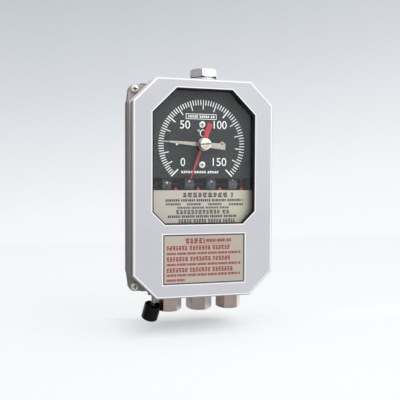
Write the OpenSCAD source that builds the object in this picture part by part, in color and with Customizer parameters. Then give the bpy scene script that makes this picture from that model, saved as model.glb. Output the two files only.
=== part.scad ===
// Wall-hung dial controller for the oil temperature of a transformer.
// Millimetres, +Z up, the dial faces -Y and the wall is the plane y = 0.
// The origin is the middle of the four wall bolts.
// Depths are counted back from the front face of the cover, see at_depth().

/* [Case] */
// Width of the cover over its flat sides
case_w = 148; // [140:1:170]
// Height of the cover over its flat ends
case_h = 223; // [215:1:250]
// Depth from the cover's front face to the wall
case_depth = 84; // [80:1:110]
// Corner cut of the cover
case_cut = 24.4; // [20:0.2:26]
// How far the ears end short of the cover's flat sides
ear_in_x = 0.5; // [0:0.1:2]
// How far the ears end short of the cover's flat ends
ear_in_z = 4; // [2:0.1:5]
// Corner radius of the ears
ear_r = 6; // [2:0.5:6]

/* [Cover] */
// Wall of the cover's sides
cover_wall = 3.5; // [2.5:0.1:4]
// Thickness of the cover's face
face_t = 4.5; // [3.5:0.1:5]
// Depth of the cover over its rim
cover_d = 34; // [32:0.5:36]
// Depth of the cover's raised front part
step_d = 14; // [12:0.5:17]
// How far the cover's rim stands out round the raised front part
step_out = 1.4; // [0.8:0.1:2]
// Thickness of the cover's ears
cover_ear_t = 4; // [3:0.5:6]
// Chamfer round the cover's front edge
edge_cut = 1.2; // [0.5:0.1:2]
// Width of the window
window_w = 108.8; // [100:0.2:112]
// Width of the cover's face above the window
face_top = 9.95; // [9:0.05:12]
// Height of the cover's face below the window
face_low = 74.95; // [72:0.05:78]
// Cut of the window's upper corners
window_cut_top = 25; // [20:0.5:30]
// Cut of the window's lower corners
window_cut_low = 13; // [8:0.5:16]

/* [Housing] */
// Wall of the housing
wall = 4; // [3:0.1:5]
// Thickness of the cover's gasket
gasket_t = 1; // [0.8:0.1:1.5]
// Thickness of the housing's flange and ears
flange_t = 5; // [4.5:0.5:8]
// How far the body stands in from the flange, just behind it
body_in = 2.9; // [2.4:0.1:3.9]
// How far the body stands in from the flange at the wall
draft_in = 5.9; // [4.4:0.1:7.4]
// Corner cut of the body
body_cut = 13; // [10:0.5:14.5]
// Corner cut of the hollow inside
hollow_cut = 22; // [20:0.5:28]
// Distance between the wall bolts across
bolt_x = 80; // [70:1:90]
// Distance between the wall bolts upright
bolt_z = 160; // [150:1:166]
// Radius of a wall bolt's hole
bolt_r = 3; // [2.5:0.5:4]
// Depth of a wall bolt's hole
bolt_deep = 10; // [8:0.5:11]

/* [Cover screws] */
// Distance of a cover screw from the cover's flat side
screw_in_x = 6.6; // [6:0.1:8]
// Distance of a cover screw from the cover's flat end
screw_in_z = 8.9; // [8.5:0.1:10]
// Radius of a cover screw's thread
screw_r = 2.5; // [2:0.1:3]
// Radius of a cover screw's head
screw_head_r = 4.2; // [3.8:0.1:4.6]
// Height of a cover screw's head
screw_head_t = 3; // [2:0.1:3.5]
// Length of a cover screw under its head
screw_len = 9; // [8:0.5:9.5]

/* [Window glass] */
// Thickness of the glass
glass_t = 2; // [1.5:0.1:2.5]
// Thickness of the seal before the glass
seal_t = 0.5; // [0.3:0.1:1]
// How far the glass laps behind the cover's face
glass_lap = 4; // [3:0.1:4.2]
// Thickness of the frame that clamps the glass
frame_t = 2.5; // [1.5:0.1:2.6]
// How far the frame laps at the sides and below
frame_lap = 12; // [11:0.5:13]
// How far the frame laps above the window
frame_lap_top = 5; // [4.5:0.1:5.5]

/* [Notice plate] */
// Width of the plate under the window
notice_w = 86; // [80:0.5:90]
// Height of the plate under the window
notice_h = 50; // [44:0.5:52]
// Thickness of the plate
notice_t = 0.5; // [0.3:0.1:0.8]
// Distance of the plate's lower edge from the cover's flat end
notice_in = 14.6; // [13:0.1:15]
// Depth of the recess for the plate
notice_deep = 0.9; // [0.6:0.1:1.2]

/* [Dial] */
// Height of the dial's centre over the wall bolts
dial_z = 45.3; // [44:0.1:46]
// Depth of the dial's face behind the cover's face
dial_d = 11.7; // [11.6:0.1:12.5]
// Thickness of the dial plate
dial_t = 1; // [0.8:0.1:1.2]
// Half the width of the dial plate
dial_half_w = 57; // [55:0.5:60]
// How far the dial plate's upper edge stays below the cover's flat end
dial_top_in = 7.5; // [6:0.1:8.5]
// Height of the dial plate's lower edge over the wall bolts
dial_low_z = 10.6; // [10:0.1:14]
// Radius of the outer ends of the scale marks
scale_r = 46.2; // [44:0.1:48]
// Height of the printed scale marks over the plate
ink_t = 0.12; // [0.1:0.01:0.2]
// Distance from the dial's centre to its screws
dial_screw_z = 20.7; // [19:0.1:22]
// Highest temperature on the scale, in degrees Celsius
scale_max = 150; // [100:10:150]
// Temperature that the pointer shows at rest
rest_temp = 30; // [10:1:60]

/* [Pointers] */
// Length of the pointer from its axis
pointer_len = 43; // [38:0.5:44]
// Length of the pointer's tail
pointer_tail = 24.7; // [20:0.1:26]
// Thickness of both pointers
blade_t = 0.5; // [0.3:0.1:0.6]
// Distance of the drag pin from the axis
drag_pin_at = 27.3; // [26.5:0.1:32]
// Length of the drag pointer from its axis
drag_len = 39; // [36:0.5:43]
// Length of the drag pointer's tail
drag_tail = 23.5; // [20:0.1:24]
// Direction of the drag pointer, clockwise from straight up
drag_dir = 200; // [185:1:215]
// Radius of the knob on the glass
knob_r = 5.7; // [4.8:0.1:6.6]
// How far the knob stands out before the cover's face
knob_out = 3.2; // [1.5:0.1:4]

/* [Gears] */
// Gear module
gear_m = 0.6; // [0.5:0.05:0.6]
// Teeth of the pinion
pinion_n = 12; // [12:1:14]
// Teeth of the whole wheel that the sector is cut from
sector_n = 120; // [110:2:120]
// Thickness of the sector gear
sector_t = 2; // [1:0.1:2.5]
// Distance from the sector's axis to the push rod
crank_r = 9.87; // [9:0.01:11]

/* [Setting wheels] */
// Radius of a setting wheel
wheel_r = 9; // [8:0.1:9.3]
// Width of a setting wheel
wheel_w = 9; // [7:0.1:10]
// Distance between neighbouring setting wheels
wheel_pitch = 23.8; // [23:0.1:24.5]
// Height of the wheels' axle over the wall bolts
wheel_z = 4.4; // [4:0.1:5]
// Depth of the wheels' axle
wheel_d = 23; // [22.5:0.1:24]

/* [Cable glands] */
// Distance between neighbouring glands
gland_pitch = 34.8; // [33:0.1:35]
// Place of the middle gland across
gland_x = 10; // [7:0.1:10.2]
// Distance of the glands' axes behind the flange
gland_back = 18; // [17:0.5:20]
// Radius of the glands' upper thread
gland_r = 10; // [9:0.1:10.2]
// Width of a gland's cap nut over its flats
gland_nut_af = 25; // [23:0.5:26]
// Height of a gland's cap nut
gland_nut_h = 17; // [14:0.5:18]
// Radius of the cable hole in a gland's seal
cable_r = 5; // [3:0.5:5.5]

/* [Vent plug] */
// Place of the vent plug across
vent_x = 14; // [8:0.5:18]
// Distance of the vent plug's axis behind the flange
vent_back = 15; // [14.5:0.5:20]
// Width of the plug's head over its flats
vent_af = 28; // [26:0.5:30]
// Height of the plug's head
vent_head_h = 8.8; // [6:0.1:10]
// Height of the round collar under the head
vent_collar_h = 9.2; // [8:0.1:11]

/* [Capillary] */
// Distance of the capillary's bush from the nearest gland
bush_off = 18.9; // [18.8:0.1:19.5]
// Distance of the capillary's bush behind the flange
bush_back = 7.5; // [7.2:0.1:8.2]
// Outer radius of the armour round the capillary
armour_r = 2.5; // [2:0.1:2.8]
// Outer radius of the rubber sleeve
sleeve_r = 9; // [8:0.1:9.2]
// Length of the rubber sleeve
sleeve_len = 17; // [14:0.5:19]

/* [Hidden] */
$fn = 64;

// Small overlap that keeps a cut from ending exactly on a face
eps = 0.01;
// Clearance of a thread or a pin in its plain hole
fit = 0.1;
// Radial clearance of a shaft that turns in its hole
run = 0.04;
// Colours
silver_paint = [0.80, 0.81, 0.83];
cast_grey = [0.55, 0.54, 0.52];
nickel = [0.66, 0.62, 0.57];
steel = [0.70, 0.70, 0.72];
brass = [0.78, 0.62, 0.30];
copper = [0.72, 0.45, 0.30];
black = [0.08, 0.08, 0.09];
charcoal = [0.29, 0.30, 0.31];
beige = [0.80, 0.76, 0.68];
red = [0.84, 0.20, 0.28];

// Depth to y
function at_depth(d) = d - case_depth;
// Cut of a corner when an eight-sided outline grows by t all round
function grown_cut(cut, t) = cut + t * (2 - sqrt(2));
// Eight-sided outline, with its own cuts above and below
function octagon(w, h, top, low) = [
    [w / 2 - top, h / 2], [-w / 2 + top, h / 2], [-w / 2, h / 2 - top], [-w / 2, -h / 2 + low],
    [-w / 2 + low, -h / 2], [w / 2 - low, -h / 2], [w / 2, -h / 2 + low], [w / 2, h / 2 - top]
];

// An outline drawn in x and z, from depth d0 back to depth d1
module slab(d0, d1) {
    translate([0, at_depth(d1), 0])
        rotate([90, 0, 0])
            linear_extrude(d1 - d0)
                children();
}
// A round bar or hole along the depth
module bar_y(x, z, r, d0, d1) {
    translate([x, at_depth(d1), z])
        rotate([90, 0, 0])
            cylinder(r = r, h = d1 - d0);
}
// A round bar or hole along the height
module bar_z(x, d, r, z0, z1) {
    translate([x, at_depth(d), z0])
        cylinder(r = r, h = z1 - z0);
}
// A round bar or hole across
module bar_x(d, z, r, x0, x1) {
    translate([x0, at_depth(d), z])
        rotate([0, 90, 0])
            cylinder(r = r, h = x1 - x0);
}
// A box from its two ends across, in depth and in height
module block(x0, x1, d0, d1, z0, z1) {
    translate([x0, at_depth(d0), z0])
        cube([x1 - x0, d1 - d0, z1 - z0]);
}
// Six-sided bar along the height, with its first corner turned by a
module hex_z(x, d, af, z0, z1, a = 0) {
    translate([x, at_depth(d), z0])
        rotate([0, 0, a])
            cylinder(r = af / sqrt(3), h = z1 - z0, $fn = 6);
}
// Rectangle with round corners
module round_rect(w, h, r) {
    square([w - 2 * r, h], center = true);
    square([w, h - 2 * r], center = true);
    for (sx = [-1, 1], sz = [-1, 1])
        translate([sx * (w / 2 - r), sz * (h / 2 - r)])
            circle(r);
}
// The children once in each corner, at x and z to either side
module corners(x, z) {
    for (sx = [-1, 1], sz = [-1, 1])
        translate([sx * x, 0, sz * z])
            children();
}

// Depths of the case's layers
flange_d = cover_d + gasket_t;
body_d = flange_d + flange_t;
floor_d = case_depth - wall;
// Outer sizes of the cover's rim, which the flange repeats
rim_w = case_w + 2 * step_out;
rim_h = case_h + 2 * step_out;
rim_cut = grown_cut(case_cut, step_out);
ear_w = case_w - 2 * ear_in_x;
ear_h = case_h - 2 * ear_in_z;
// Outer sizes of the body behind the flange and at the wall
body_w0 = rim_w - 2 * body_in;
body_h0 = rim_h - 2 * body_in;
body_w1 = rim_w - 2 * draft_in;
body_h1 = rim_h - 2 * draft_in;
// Places of the cover screws, the glands, the vent plug and the bush
screw_x = case_w / 2 - screw_in_x;
screw_z = case_h / 2 - screw_in_z;
gland_d = body_d + gland_back;
vent_d = body_d + vent_back;
bush_x = gland_x - gland_pitch - bush_off;
bush_d = body_d + bush_back;
// Middle and height of the window, middle of the notice plate, top of the dial plate
window_h = case_h - face_top - face_low;
window_z = (face_low - face_top) / 2;
notice_z = notice_in + notice_h / 2 - case_h / 2;
dial_top_z = case_h / 2 - dial_top_in;
// Level of the flat pads that the fittings screw onto, above and below
pad_in = 1;
pad_z = case_h / 2 - pad_in;
// Level of the hollow's floor, where the locknuts sit
pad_t = 5.5;
inner_z = pad_z - pad_t;
gland_xs = [gland_x - gland_pitch, gland_x, gland_x + gland_pitch];

// Axis of the sector gear, beside the pointer's axis
sector_x = gear_m * (pinion_n + sector_n) / 2;
// Scale law: angle clockwise from the zero mark for a temperature in degrees
function scale_turn(t) = 270 * (1.6 * t + t * t / 750) / (1.6 * scale_max + scale_max * scale_max / 750);
zero_dir = 225;
pointer_dir = zero_dir + scale_turn(rest_temp);
// Swing of the sector from rest to the cold end and to the hot end of the scale
gear_ratio = sector_n / pinion_n;
swing_cold = scale_turn(rest_temp) / gear_ratio;
swing_hot = (270 - scale_turn(rest_temp)) / gear_ratio;
crank_rest = (swing_hot - swing_cold) / 2;
// The slotted crank moves the rod a little more than its radius does at mid swing
slot_gain = 1.013;
rod_rate = crank_r * slot_gain;
crank_rise = rod_rate * crank_rest * PI / 180;
rod_rise = rod_rate * swing_hot * PI / 180;
// Layers of the movement behind the dial: the front plate, the gears, the crank, the push rod with
// its bellows, and the chassis plate that carries them
dial_gap = 6.3;
plate_d = dial_d + dial_gap;
plate_t = 1.5;
plate_gap = 4.5;
gear_d = plate_d + plate_t + plate_gap;
gear_gap = 1.2;
crank_d = gear_d + sector_t + gear_gap;
crank_t = 1.5;
crank_gap = 0.4;
rod_r = 1.5;
rod_x = sector_x + crank_r;
rod_d = crank_d + crank_t + crank_gap + rod_r;
bellows_r = 10;
bellows_gap = 0.4;
bracket_t = 2;
chassis_d = rod_d + bellows_r + bellows_gap + bracket_t;
chassis_t = 2;
// Snap switches on the chassis, and the tips of their buttons
switch_w = 19.8;
switch_h = 10;
switch_t = 6.4;
switch_top_z = -8;
switch_mid_d = chassis_d - switch_t / 2;
button_r = 1.2;
button_out = 1.4;
button_tip_z = switch_top_z - switch_h - button_out;
// Depth of the pointer's blade
blade_d = 9.5;

// Outline of the rim with its four ears, whose sides run in a little towards their corners
module eared_outline() {
    side = rim_w / 2;
    root = case_h / 2 - case_cut;
    x1 = ear_w / 2;
    z1 = ear_h / 2;
    x0 = x1 - ear_r;
    z0 = z1 - ear_r;
    polygon(octagon(rim_w, rim_h, rim_cut, rim_cut));
    polygon([[side, -root], [side, root], [x1, z0], [x0, z1], [-x0, z1], [-x1, z0],
        [-side, root], [-side, -root], [-x1, -z0], [-x0, -z1], [x0, -z1], [x1, -z0]]);
    for (sx = [-1, 1], sz = [-1, 1])
        translate([sx * x0, sz * z0])
            circle(ear_r);
}
module window_outline(t = 0) {
    translate([0, window_z])
        polygon(octagon(window_w + 2 * t, window_h + 2 * t,
            grown_cut(window_cut_top, t), grown_cut(window_cut_low, t)));
}

// Cast housing: a tapered eight-sided tub with a flange, ears, pads and bosses
boss_r = 9;
boss_end = 2;
boss_d = case_depth - bolt_deep - boss_end;
pad_r = 14.2;
pad_deep = 6;
// Room round a locknut in its spot face, and how far the spot face is cut
nut_room = 0.5;
spot_deep = 14;
module base_housing() {
    color(cast_grey)
        difference() {
            union() {
                hull() {
                    slab(body_d - 1, body_d)
                        polygon(octagon(body_w0, body_h0, body_cut, body_cut));
                    slab(case_depth - 1, case_depth)
                        polygon(octagon(body_w1, body_h1, body_cut, body_cut));
                }
                slab(flange_d, body_d)
                    eared_outline();
                for (x = gland_xs)
                    bar_z(x, gland_d, pad_r, -pad_z, -pad_z + pad_deep);
                bar_z(bush_x, bush_d, bush_pad_r, -pad_z, -pad_z + pad_deep);
                bar_z(vent_x, vent_d, pad_r, pad_z - pad_deep, pad_z);
            }
            difference() {
                hull() {
                    slab(flange_d - 1, flange_d)
                        polygon(octagon(body_w0 - 2 * wall, body_h0 - 2 * wall, hollow_cut, hollow_cut));
                    slab(floor_d - 1, floor_d)
                        polygon(octagon(body_w1 - 2 * wall, body_h1 - 2 * wall, hollow_cut, hollow_cut));
                }
                corners(bolt_x / 2, bolt_z / 2)
                    bar_y(0, 0, boss_r, boss_d, case_depth);
                for (p = post_places)
                    bar_y(p[0], p[1], post_boss_r, post_foot_d, case_depth);
            }
            for (p = post_places)
                bar_y(p[0], p[1], post_r + fit, flange_d, post_foot_d);
            // Spot faces and holes for the fittings below and above
            for (x = gland_xs) {
                bar_z(x, gland_d, locknut_af / sqrt(3) + nut_room, -inner_z, -inner_z + spot_deep);
                bar_z(x, gland_d, gland_r + fit, -pad_z - 1, -inner_z + 1);
            }
            bar_z(bush_x, bush_d, bush_nut_af / sqrt(3) + nut_room, -inner_z, -inner_z + spot_deep);
            bar_z(bush_x, bush_d, bush_r + fit, -pad_z - 1, -inner_z + 1);
            bar_z(vent_x, vent_d, pad_r, inner_z - spot_deep, inner_z);
            bar_z(vent_x, vent_d, gland_r + fit, inner_z - 1, pad_z + 1);
            // Threaded holes for the cover screws, the wall bolts and the posts
            corners(screw_x, screw_z)
                bar_y(0, 0, screw_r, flange_d - 1, cover_d - cover_ear_t + screw_len + screw_end);
            corners(bolt_x / 2, bolt_z / 2)
                bar_y(0, 0, bolt_r, case_depth - bolt_deep, case_depth + 1);
            for (p = post_places)
                bar_y(p[0], p[1], post_pin_r, post_foot_d - 1, post_foot_d + post_pin_len);
        }
}

// Cast cover: an eight-sided pan with a window, a recess for the plate and four ears
boss_out = 7.8;
boss_low_out = 7.95;
boss_x = window_w / 2 + boss_out;
boss_low_z = window_z - window_h / 2 - boss_low_out;
boss_low_x = 30;
boss_z0 = 0;
boss_z1 = 60;
frame_boss = [[boss_x, boss_z1], [-boss_x, boss_z1], [boss_x, boss_z0], [-boss_x, boss_z0],
    [boss_low_x, boss_low_z], [-boss_low_x, boss_low_z]];
frame_boss_r = 3;
frame_screw_r = 1.25;
// Clearance of the cover's and the frame's screw holes, and of a blind hole's end
screw_free = 0.3;
screw_end = 0.4;
notice_free = 0.5;
frame_hole_d = 2.5;
module cover() {
    color(silver_paint)
        difference() {
            union() {
                hull() {
                    slab(0, edge_cut)
                        polygon(octagon(case_w - 2 * edge_cut, case_h - 2 * edge_cut,
                            grown_cut(case_cut, -edge_cut), grown_cut(case_cut, -edge_cut)));
                    slab(edge_cut, step_d + 1)
                        polygon(octagon(case_w, case_h, case_cut, case_cut));
                }
                slab(step_d, cover_d)
                    polygon(octagon(rim_w, rim_h, rim_cut, rim_cut));
                slab(cover_d - cover_ear_t, cover_d)
                    eared_outline();
            }
            difference() {
                slab(face_t, cover_d + 1)
                    polygon(octagon(case_w - 2 * cover_wall, case_h - 2 * cover_wall,
                        grown_cut(case_cut, -cover_wall), grown_cut(case_cut, -cover_wall)));
                for (p = frame_boss)
                    bar_y(p[0], p[1], frame_boss_r, 0, glass_back);
            }
            slab(-1, face_t + 1)
                window_outline();
            slab(-1, notice_deep)
                translate([0, notice_z])
                    square([notice_w + 2 * notice_free, notice_h + 2 * notice_free], center = true);
            corners(screw_x, screw_z)
                bar_y(0, 0, screw_r + screw_free, step_d, cover_d + 1);
            for (p = frame_boss)
                bar_y(p[0], p[1], frame_screw_r, frame_hole_d, glass_back + 1);
        }
}

// Flat rubber ring between the cover and the housing
gasket_in = 0.6;
gasket_lap = 1.5;
module cover_gasket() {
    band = cover_wall + gasket_lap;
    color(black)
        slab(cover_d, flange_d)
            difference() {
                polygon(octagon(rim_w - 2 * gasket_in, rim_h - 2 * gasket_in,
                    grown_cut(rim_cut, -gasket_in), grown_cut(rim_cut, -gasket_in)));
                polygon(octagon(case_w - 2 * band, case_h - 2 * band,
                    grown_cut(case_cut, -band), grown_cut(case_cut, -band)));
            }
}

// Crosshead screw that points back, with the underside of its head at depth d
module pan_screw(d, r, len, head_r, head_t) {
    difference() {
        union() {
            bar_y(0, 0, r, d, d + len);
            translate([0, at_depth(d), 0])
                rotate([90, 0, 0])
                    rotate_extrude()
                        polygon([[0, 0], [head_r, 0], [head_r, head_t * 0.45],
                            [head_r * 0.8, head_t * 0.85], [head_r * 0.4, head_t], [0, head_t]]);
        }
        for (a = [0, 90])
            translate([0, at_depth(d - head_t), 0])
                rotate([0, a, 0])
                    cube([head_r * 1.1, head_t * 1.1, head_r * 0.26], center = true);
    }
}
module cover_screws() {
    color(nickel)
        corners(screw_x, screw_z)
            pan_screw(cover_d - cover_ear_t, screw_r, screw_len, screw_head_r, screw_head_t);
}

// Glass, its seal and the frame that clamps them to the cover
glass_front = face_t + seal_t;
glass_back = glass_front + glass_t;
frame_back = glass_back + frame_t;
module window_seal() {
    color(black)
        slab(face_t, glass_front)
            difference() {
                window_outline(glass_lap);
                window_outline();
            }
}
module window_glass() {
    color([0.85, 0.90, 0.92, 0.3])
        difference() {
            slab(glass_front, glass_back)
                window_outline(glass_lap);
            bar_y(0, dial_z, knob_bush_r + fit, 0, glass_back + 1);
        }
}
module glass_frame() {
    low = window_z - window_h / 2 - frame_lap;
    high = window_z + window_h / 2 + frame_lap_top;
    color(black)
        difference() {
            slab(glass_back, frame_back)
                difference() {
                    translate([0, (low + high) / 2])
                        polygon(octagon(window_w + 2 * frame_lap, high - low,
                            window_cut_top, grown_cut(window_cut_low, frame_lap)));
                    window_outline();
                }
            for (p = frame_boss)
                bar_y(p[0], p[1], frame_screw_r + screw_free, 0, frame_back + 1);
        }
}
frame_head_r = 2.6;
frame_head_t = 1.3;
frame_slot_w = 0.6;
module glass_frame_screws() {
    head_d = frame_back + frame_head_t;
    color(steel)
        for (p = frame_boss)
            difference() {
                union() {
                    bar_y(p[0], p[1], frame_screw_r, frame_hole_d + screw_end, frame_back);
                    bar_y(p[0], p[1], frame_head_r, frame_back, head_d);
                }
                translate([p[0], at_depth(head_d), p[1]])
                    cube([2.4 * frame_head_r, frame_head_t, frame_slot_w], center = true);
            }
}

module notice_plate() {
    color(beige)
        slab(notice_deep - notice_t, notice_deep)
            translate([0, notice_z])
                square([notice_w, notice_h], center = true);
}

// Ring washers under the three glands and the vent plug
washer_t = 1.5;
washer_w = 3.2;
washer_free = 0.15;
module sealing_washer(x, d, z) {
    translate([x, at_depth(d), z])
        rotate_extrude()
            translate([gland_r + washer_free, 0])
                square([washer_w, washer_t]);
}
module sealing_washers() {
    color(black) {
        for (x = gland_xs)
            sealing_washer(x, gland_d, -pad_z - washer_t);
        sealing_washer(vent_x, vent_d, pad_z);
    }
}

// Chrome hex plug on the housing's top, turned in one piece
plug_collar_r = 13;
plug_thread_h = 12;
plug_bore_r = 6;
plug_top_t = 4;
plug_chamfer = 1.6;
plug_turn = 8;
module vent_plug() {
    collar_z = pad_z + washer_t;
    head_z = collar_z + vent_collar_h;
    top_z = head_z + vent_head_h;
    thread_z = pad_z - plug_thread_h;
    color([0.78, 0.76, 0.74])
        difference() {
            union() {
                bar_z(vent_x, vent_d, gland_r - fit, thread_z, collar_z);
                bar_z(vent_x, vent_d, plug_collar_r, collar_z, head_z);
                intersection() {
                    hex_z(vent_x, vent_d, vent_af, head_z, top_z, plug_turn);
                    chamfer_cone(vent_x, vent_d, vent_af / sqrt(3), head_z, top_z,
                        plug_chamfer, plug_chamfer);
                }
            }
            bar_z(vent_x, vent_d, plug_bore_r, thread_z - 1, top_z - plug_top_t);
        }
}
// Round body that takes the corners off a hex, c0 below and c1 above; its sides clear the corners
module chamfer_cone(x, d, r, z0, z1, c0, c1) {
    clear = 0.2;
    out = r + clear;
    translate([x, at_depth(d), 0])
        rotate_extrude()
            polygon([[0, z0], [r - c0, z0], [out, z0 + (c0 + clear) * 0.6],
                [out, z1 - (c1 + clear) * 0.6], [r - c1, z1], [0, z1]]);
}

// Cable glands: body through the case, seal in its mouth, cap nut and locknut
gland_in = 7;
gland_top_z = -inner_z + gland_in;
gland_flange_z = -pad_z - washer_t;
gland_flange_h = 6;
gland_flange_af = 24;
gland_flange_turn = 20;
gland_neck_r = 9;
gland_neck_h = 10;
seal_r = 7.3;
seal_h = 9;
// Extra room round the cable in the body and in the cap nut
body_free = 1;
nut_free = 1.5;
locknut_af = 23;
locknut_t = 4;
nut_gap = 0.5;
nut_top_z = gland_flange_z - gland_flange_h - nut_gap;
nut_low_z = nut_top_z - gland_nut_h;
nut_end_t = 3.5;
nut_chamfer_low = 3;
nut_chamfer_top = 1.4;
module gland_body(x) {
    neck_z = gland_flange_z - gland_flange_h - gland_neck_h;
    difference() {
        union() {
            bar_z(x, gland_d, gland_r, gland_flange_z, gland_top_z);
            hex_z(x, gland_d, gland_flange_af, gland_flange_z - gland_flange_h, gland_flange_z,
                gland_flange_turn);
            bar_z(x, gland_d, gland_neck_r, neck_z, gland_flange_z);
        }
        bar_z(x, gland_d, cable_r + body_free, neck_z - 1, gland_top_z + 1);
        bar_z(x, gland_d, seal_r + fit, neck_z - 1, neck_z + seal_h);
    }
}
module gland_bodies() {
    color(nickel)
        for (x = gland_xs)
            gland_body(x);
}
module gland_nut(x, a) {
    difference() {
        intersection() {
            hex_z(x, gland_d, gland_nut_af, nut_low_z, nut_top_z, a);
            chamfer_cone(x, gland_d, gland_nut_af / sqrt(3), nut_low_z, nut_top_z,
                nut_chamfer_low, nut_chamfer_top);
        }
        bar_z(x, gland_d, gland_neck_r + fit, nut_low_z + nut_end_t, nut_top_z + 1);
        bar_z(x, gland_d, cable_r + nut_free, nut_low_z - 1, nut_top_z + 1);
    }
}
// How far round each cap nut's flats stand, as they were left when tightened
nut_turn = [-5, -16, -5];
module gland_nuts() {
    color(nickel)
        for (i = [0:2])
            gland_nut(gland_xs[i], nut_turn[i]);
}
module gland_seals() {
    color(black)
        for (x = gland_xs)
            translate([x, at_depth(gland_d), nut_low_z + nut_end_t])
                rotate_extrude()
                    translate([cable_r, 0])
                        square([seal_r - cable_r, seal_h]);
}
module gland_locknuts() {
    color(steel)
        for (x = gland_xs)
            difference() {
                hex_z(x, gland_d, locknut_af, -inner_z, -inner_z + locknut_t, 0);
                bar_z(x, gland_d, gland_r, -inner_z - 1, -inner_z + locknut_t + 1);
            }
}

// Capillary: bush through the case, armoured stub and rubber end sleeve
bush_r = 4;
bush_pad_r = 7;
bush_nut_af = 13;
bush_nut_t = 3;
bush_head_af = 12;
bush_head_h = 5;
bush_head_turn = 10;
bush_in_h = 7;
bush_head_z = -pad_z - bush_head_h;
socket_h = 4;
tube_r = 1.2;
tube_free = 0.05;
// Lean of the sleeve: to the left, and its mouth towards the viewer
sleeve_left = 12;
sleeve_back = 16;
// The stub ends where the sleeve's axis starts
stem_len = 13.3;
stem_end_z = -pad_z - stem_len;
module capillary_bush() {
    color(nickel)
        difference() {
            union() {
                bar_z(bush_x, bush_d, bush_r, -pad_z - 1, -inner_z + bush_in_h);
                hex_z(bush_x, bush_d, bush_head_af, bush_head_z, -pad_z, bush_head_turn);
            }
            bar_z(bush_x, bush_d, tube_r + tube_free, bush_head_z - 1, -inner_z + bush_in_h + 1);
            bar_z(bush_x, bush_d, armour_r, bush_head_z - 1, bush_head_z + socket_h);
        }
}
module bush_locknut() {
    color(steel)
        difference() {
            hex_z(bush_x, bush_d, bush_nut_af, -inner_z, -inner_z + bush_nut_t, 0);
            bar_z(bush_x, bush_d, bush_r, -inner_z - 1, -inner_z + bush_nut_t + 1);
        }
}
module lean() {
    translate([bush_x, at_depth(bush_d), stem_end_z])
        rotate([sleeve_back, sleeve_left, 0])
            children();
}
// Wound steel armour: a straight length, a knee and a leaning length, ribbed
rib_pitch = 1.5;
rib_h = 0.35;
knee_out = 0.15;
sleeve_mouth = 3;
sleeve_socket = 5;
module ribbed_bar(len) {
    cylinder(r = armour_r - rib_h, h = len);
    for (i = [0:floor(len / rib_pitch) - 1])
        translate([0, 0, i * rib_pitch])
            cylinder(r = armour_r, h = rib_pitch * 0.6);
}
module capillary_stem() {
    straight = bush_head_z + socket_h - stem_end_z;
    color(steel) {
        translate([bush_x, at_depth(bush_d), stem_end_z])
            ribbed_bar(straight);
        translate([bush_x, at_depth(bush_d), stem_end_z])
            sphere(r = armour_r + knee_out);
        lean()
            mirror([0, 0, 1])
                ribbed_bar(sleeve_mouth + sleeve_socket);
    }
}
sleeve_wall = 1.6;
sleeve_edge = 0.6;
sleeve_foot = 1;
sleeve_core = 1.5;
module end_sleeve() {
    color(black)
        lean()
            mirror([0, 0, 1])
                translate([0, 0, sleeve_mouth])
                    difference() {
                        rotate_extrude()
                            polygon([[0, 0], [sleeve_r - sleeve_edge, 0], [sleeve_r, sleeve_edge],
                                [sleeve_r, sleeve_len - sleeve_foot],
                                [sleeve_r - sleeve_foot, sleeve_len], [0, sleeve_len]]);
                        difference() {
                            translate([0, 0, -1])
                                cylinder(r = sleeve_r - sleeve_wall, h = sleeve_socket + 1);
                            cylinder(r = armour_r + sleeve_core, h = sleeve_socket + 1);
                        }
                        translate([0, 0, -1])
                            cylinder(r = armour_r + tube_free, h = sleeve_socket + 1.1);
                    }
}

// Thin copper tube inside the case, from the bush to the bellows
tube_z = -91;
tube_bend = 5;
tube_in = 4;
module elbow(x, z, from) {
    translate([x, 0, z])
        rotate([90, 0, 0])
            rotate([0, 0, from])
                rotate_extrude(angle = 90)
                    translate([tube_bend, 0])
                        circle(r = tube_r);
}
module inner_capillary() {
    reach = norm([rod_x - bush_x, rod_d - bush_d]);
    start_z = -inner_z - tube_in;
    end_z = bellows_low_z - base_stem_h + tube_in;
    color(copper)
        translate([bush_x, at_depth(bush_d), 0])
            rotate([0, 0, atan2(rod_d - bush_d, rod_x - bush_x)]) {
                translate([0, 0, start_z])
                    cylinder(r = tube_r, h = tube_z - tube_bend - start_z);
                elbow(tube_bend, tube_z - tube_bend, 90);
                translate([tube_bend, 0, tube_z])
                    rotate([0, 90, 0])
                        cylinder(r = tube_r, h = reach - 2 * tube_bend);
                elbow(reach - tube_bend, tube_z + tube_bend, 270);
                translate([reach, 0, tube_z + tube_bend])
                    cylinder(r = tube_r, h = end_z - tube_z - tube_bend);
            }
}

// Bellows on its bracket, with the rod that it pushes up
bellows_low_z = -77;
bellows_high_z = -46;
bellows_in_r = 7.4;
bellows_folds = 8;
bellows_wall = 0.8;
base_t = 1;
base_lap = 1;
base_stem_r = 3;
base_stem_h = 8;
cap_t = 1.5;
cap_neck_r = 3.5;
cap_neck_h = 6;
bracket_half_w = 11;
bracket_h = 24;
bracket_front = 1.6;
bracket_low_z = bellows_low_z - base_t - bracket_t;
module bellows_bracket() {
    front_d = rod_d - bellows_r - bracket_front;
    color(steel)
        difference() {
            union() {
                block(rod_x - bracket_half_w, rod_x + bracket_half_w, front_d, chassis_d,
                    bracket_low_z, bracket_low_z + bracket_t);
                block(rod_x - bracket_half_w, rod_x + bracket_half_w, chassis_d - bracket_t, chassis_d,
                    bracket_low_z, bracket_low_z + bracket_h);
            }
            bar_z(rod_x, rod_d, base_stem_r + fit, bracket_low_z - 1, bracket_low_z + bracket_t + 1);
        }
}
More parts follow.
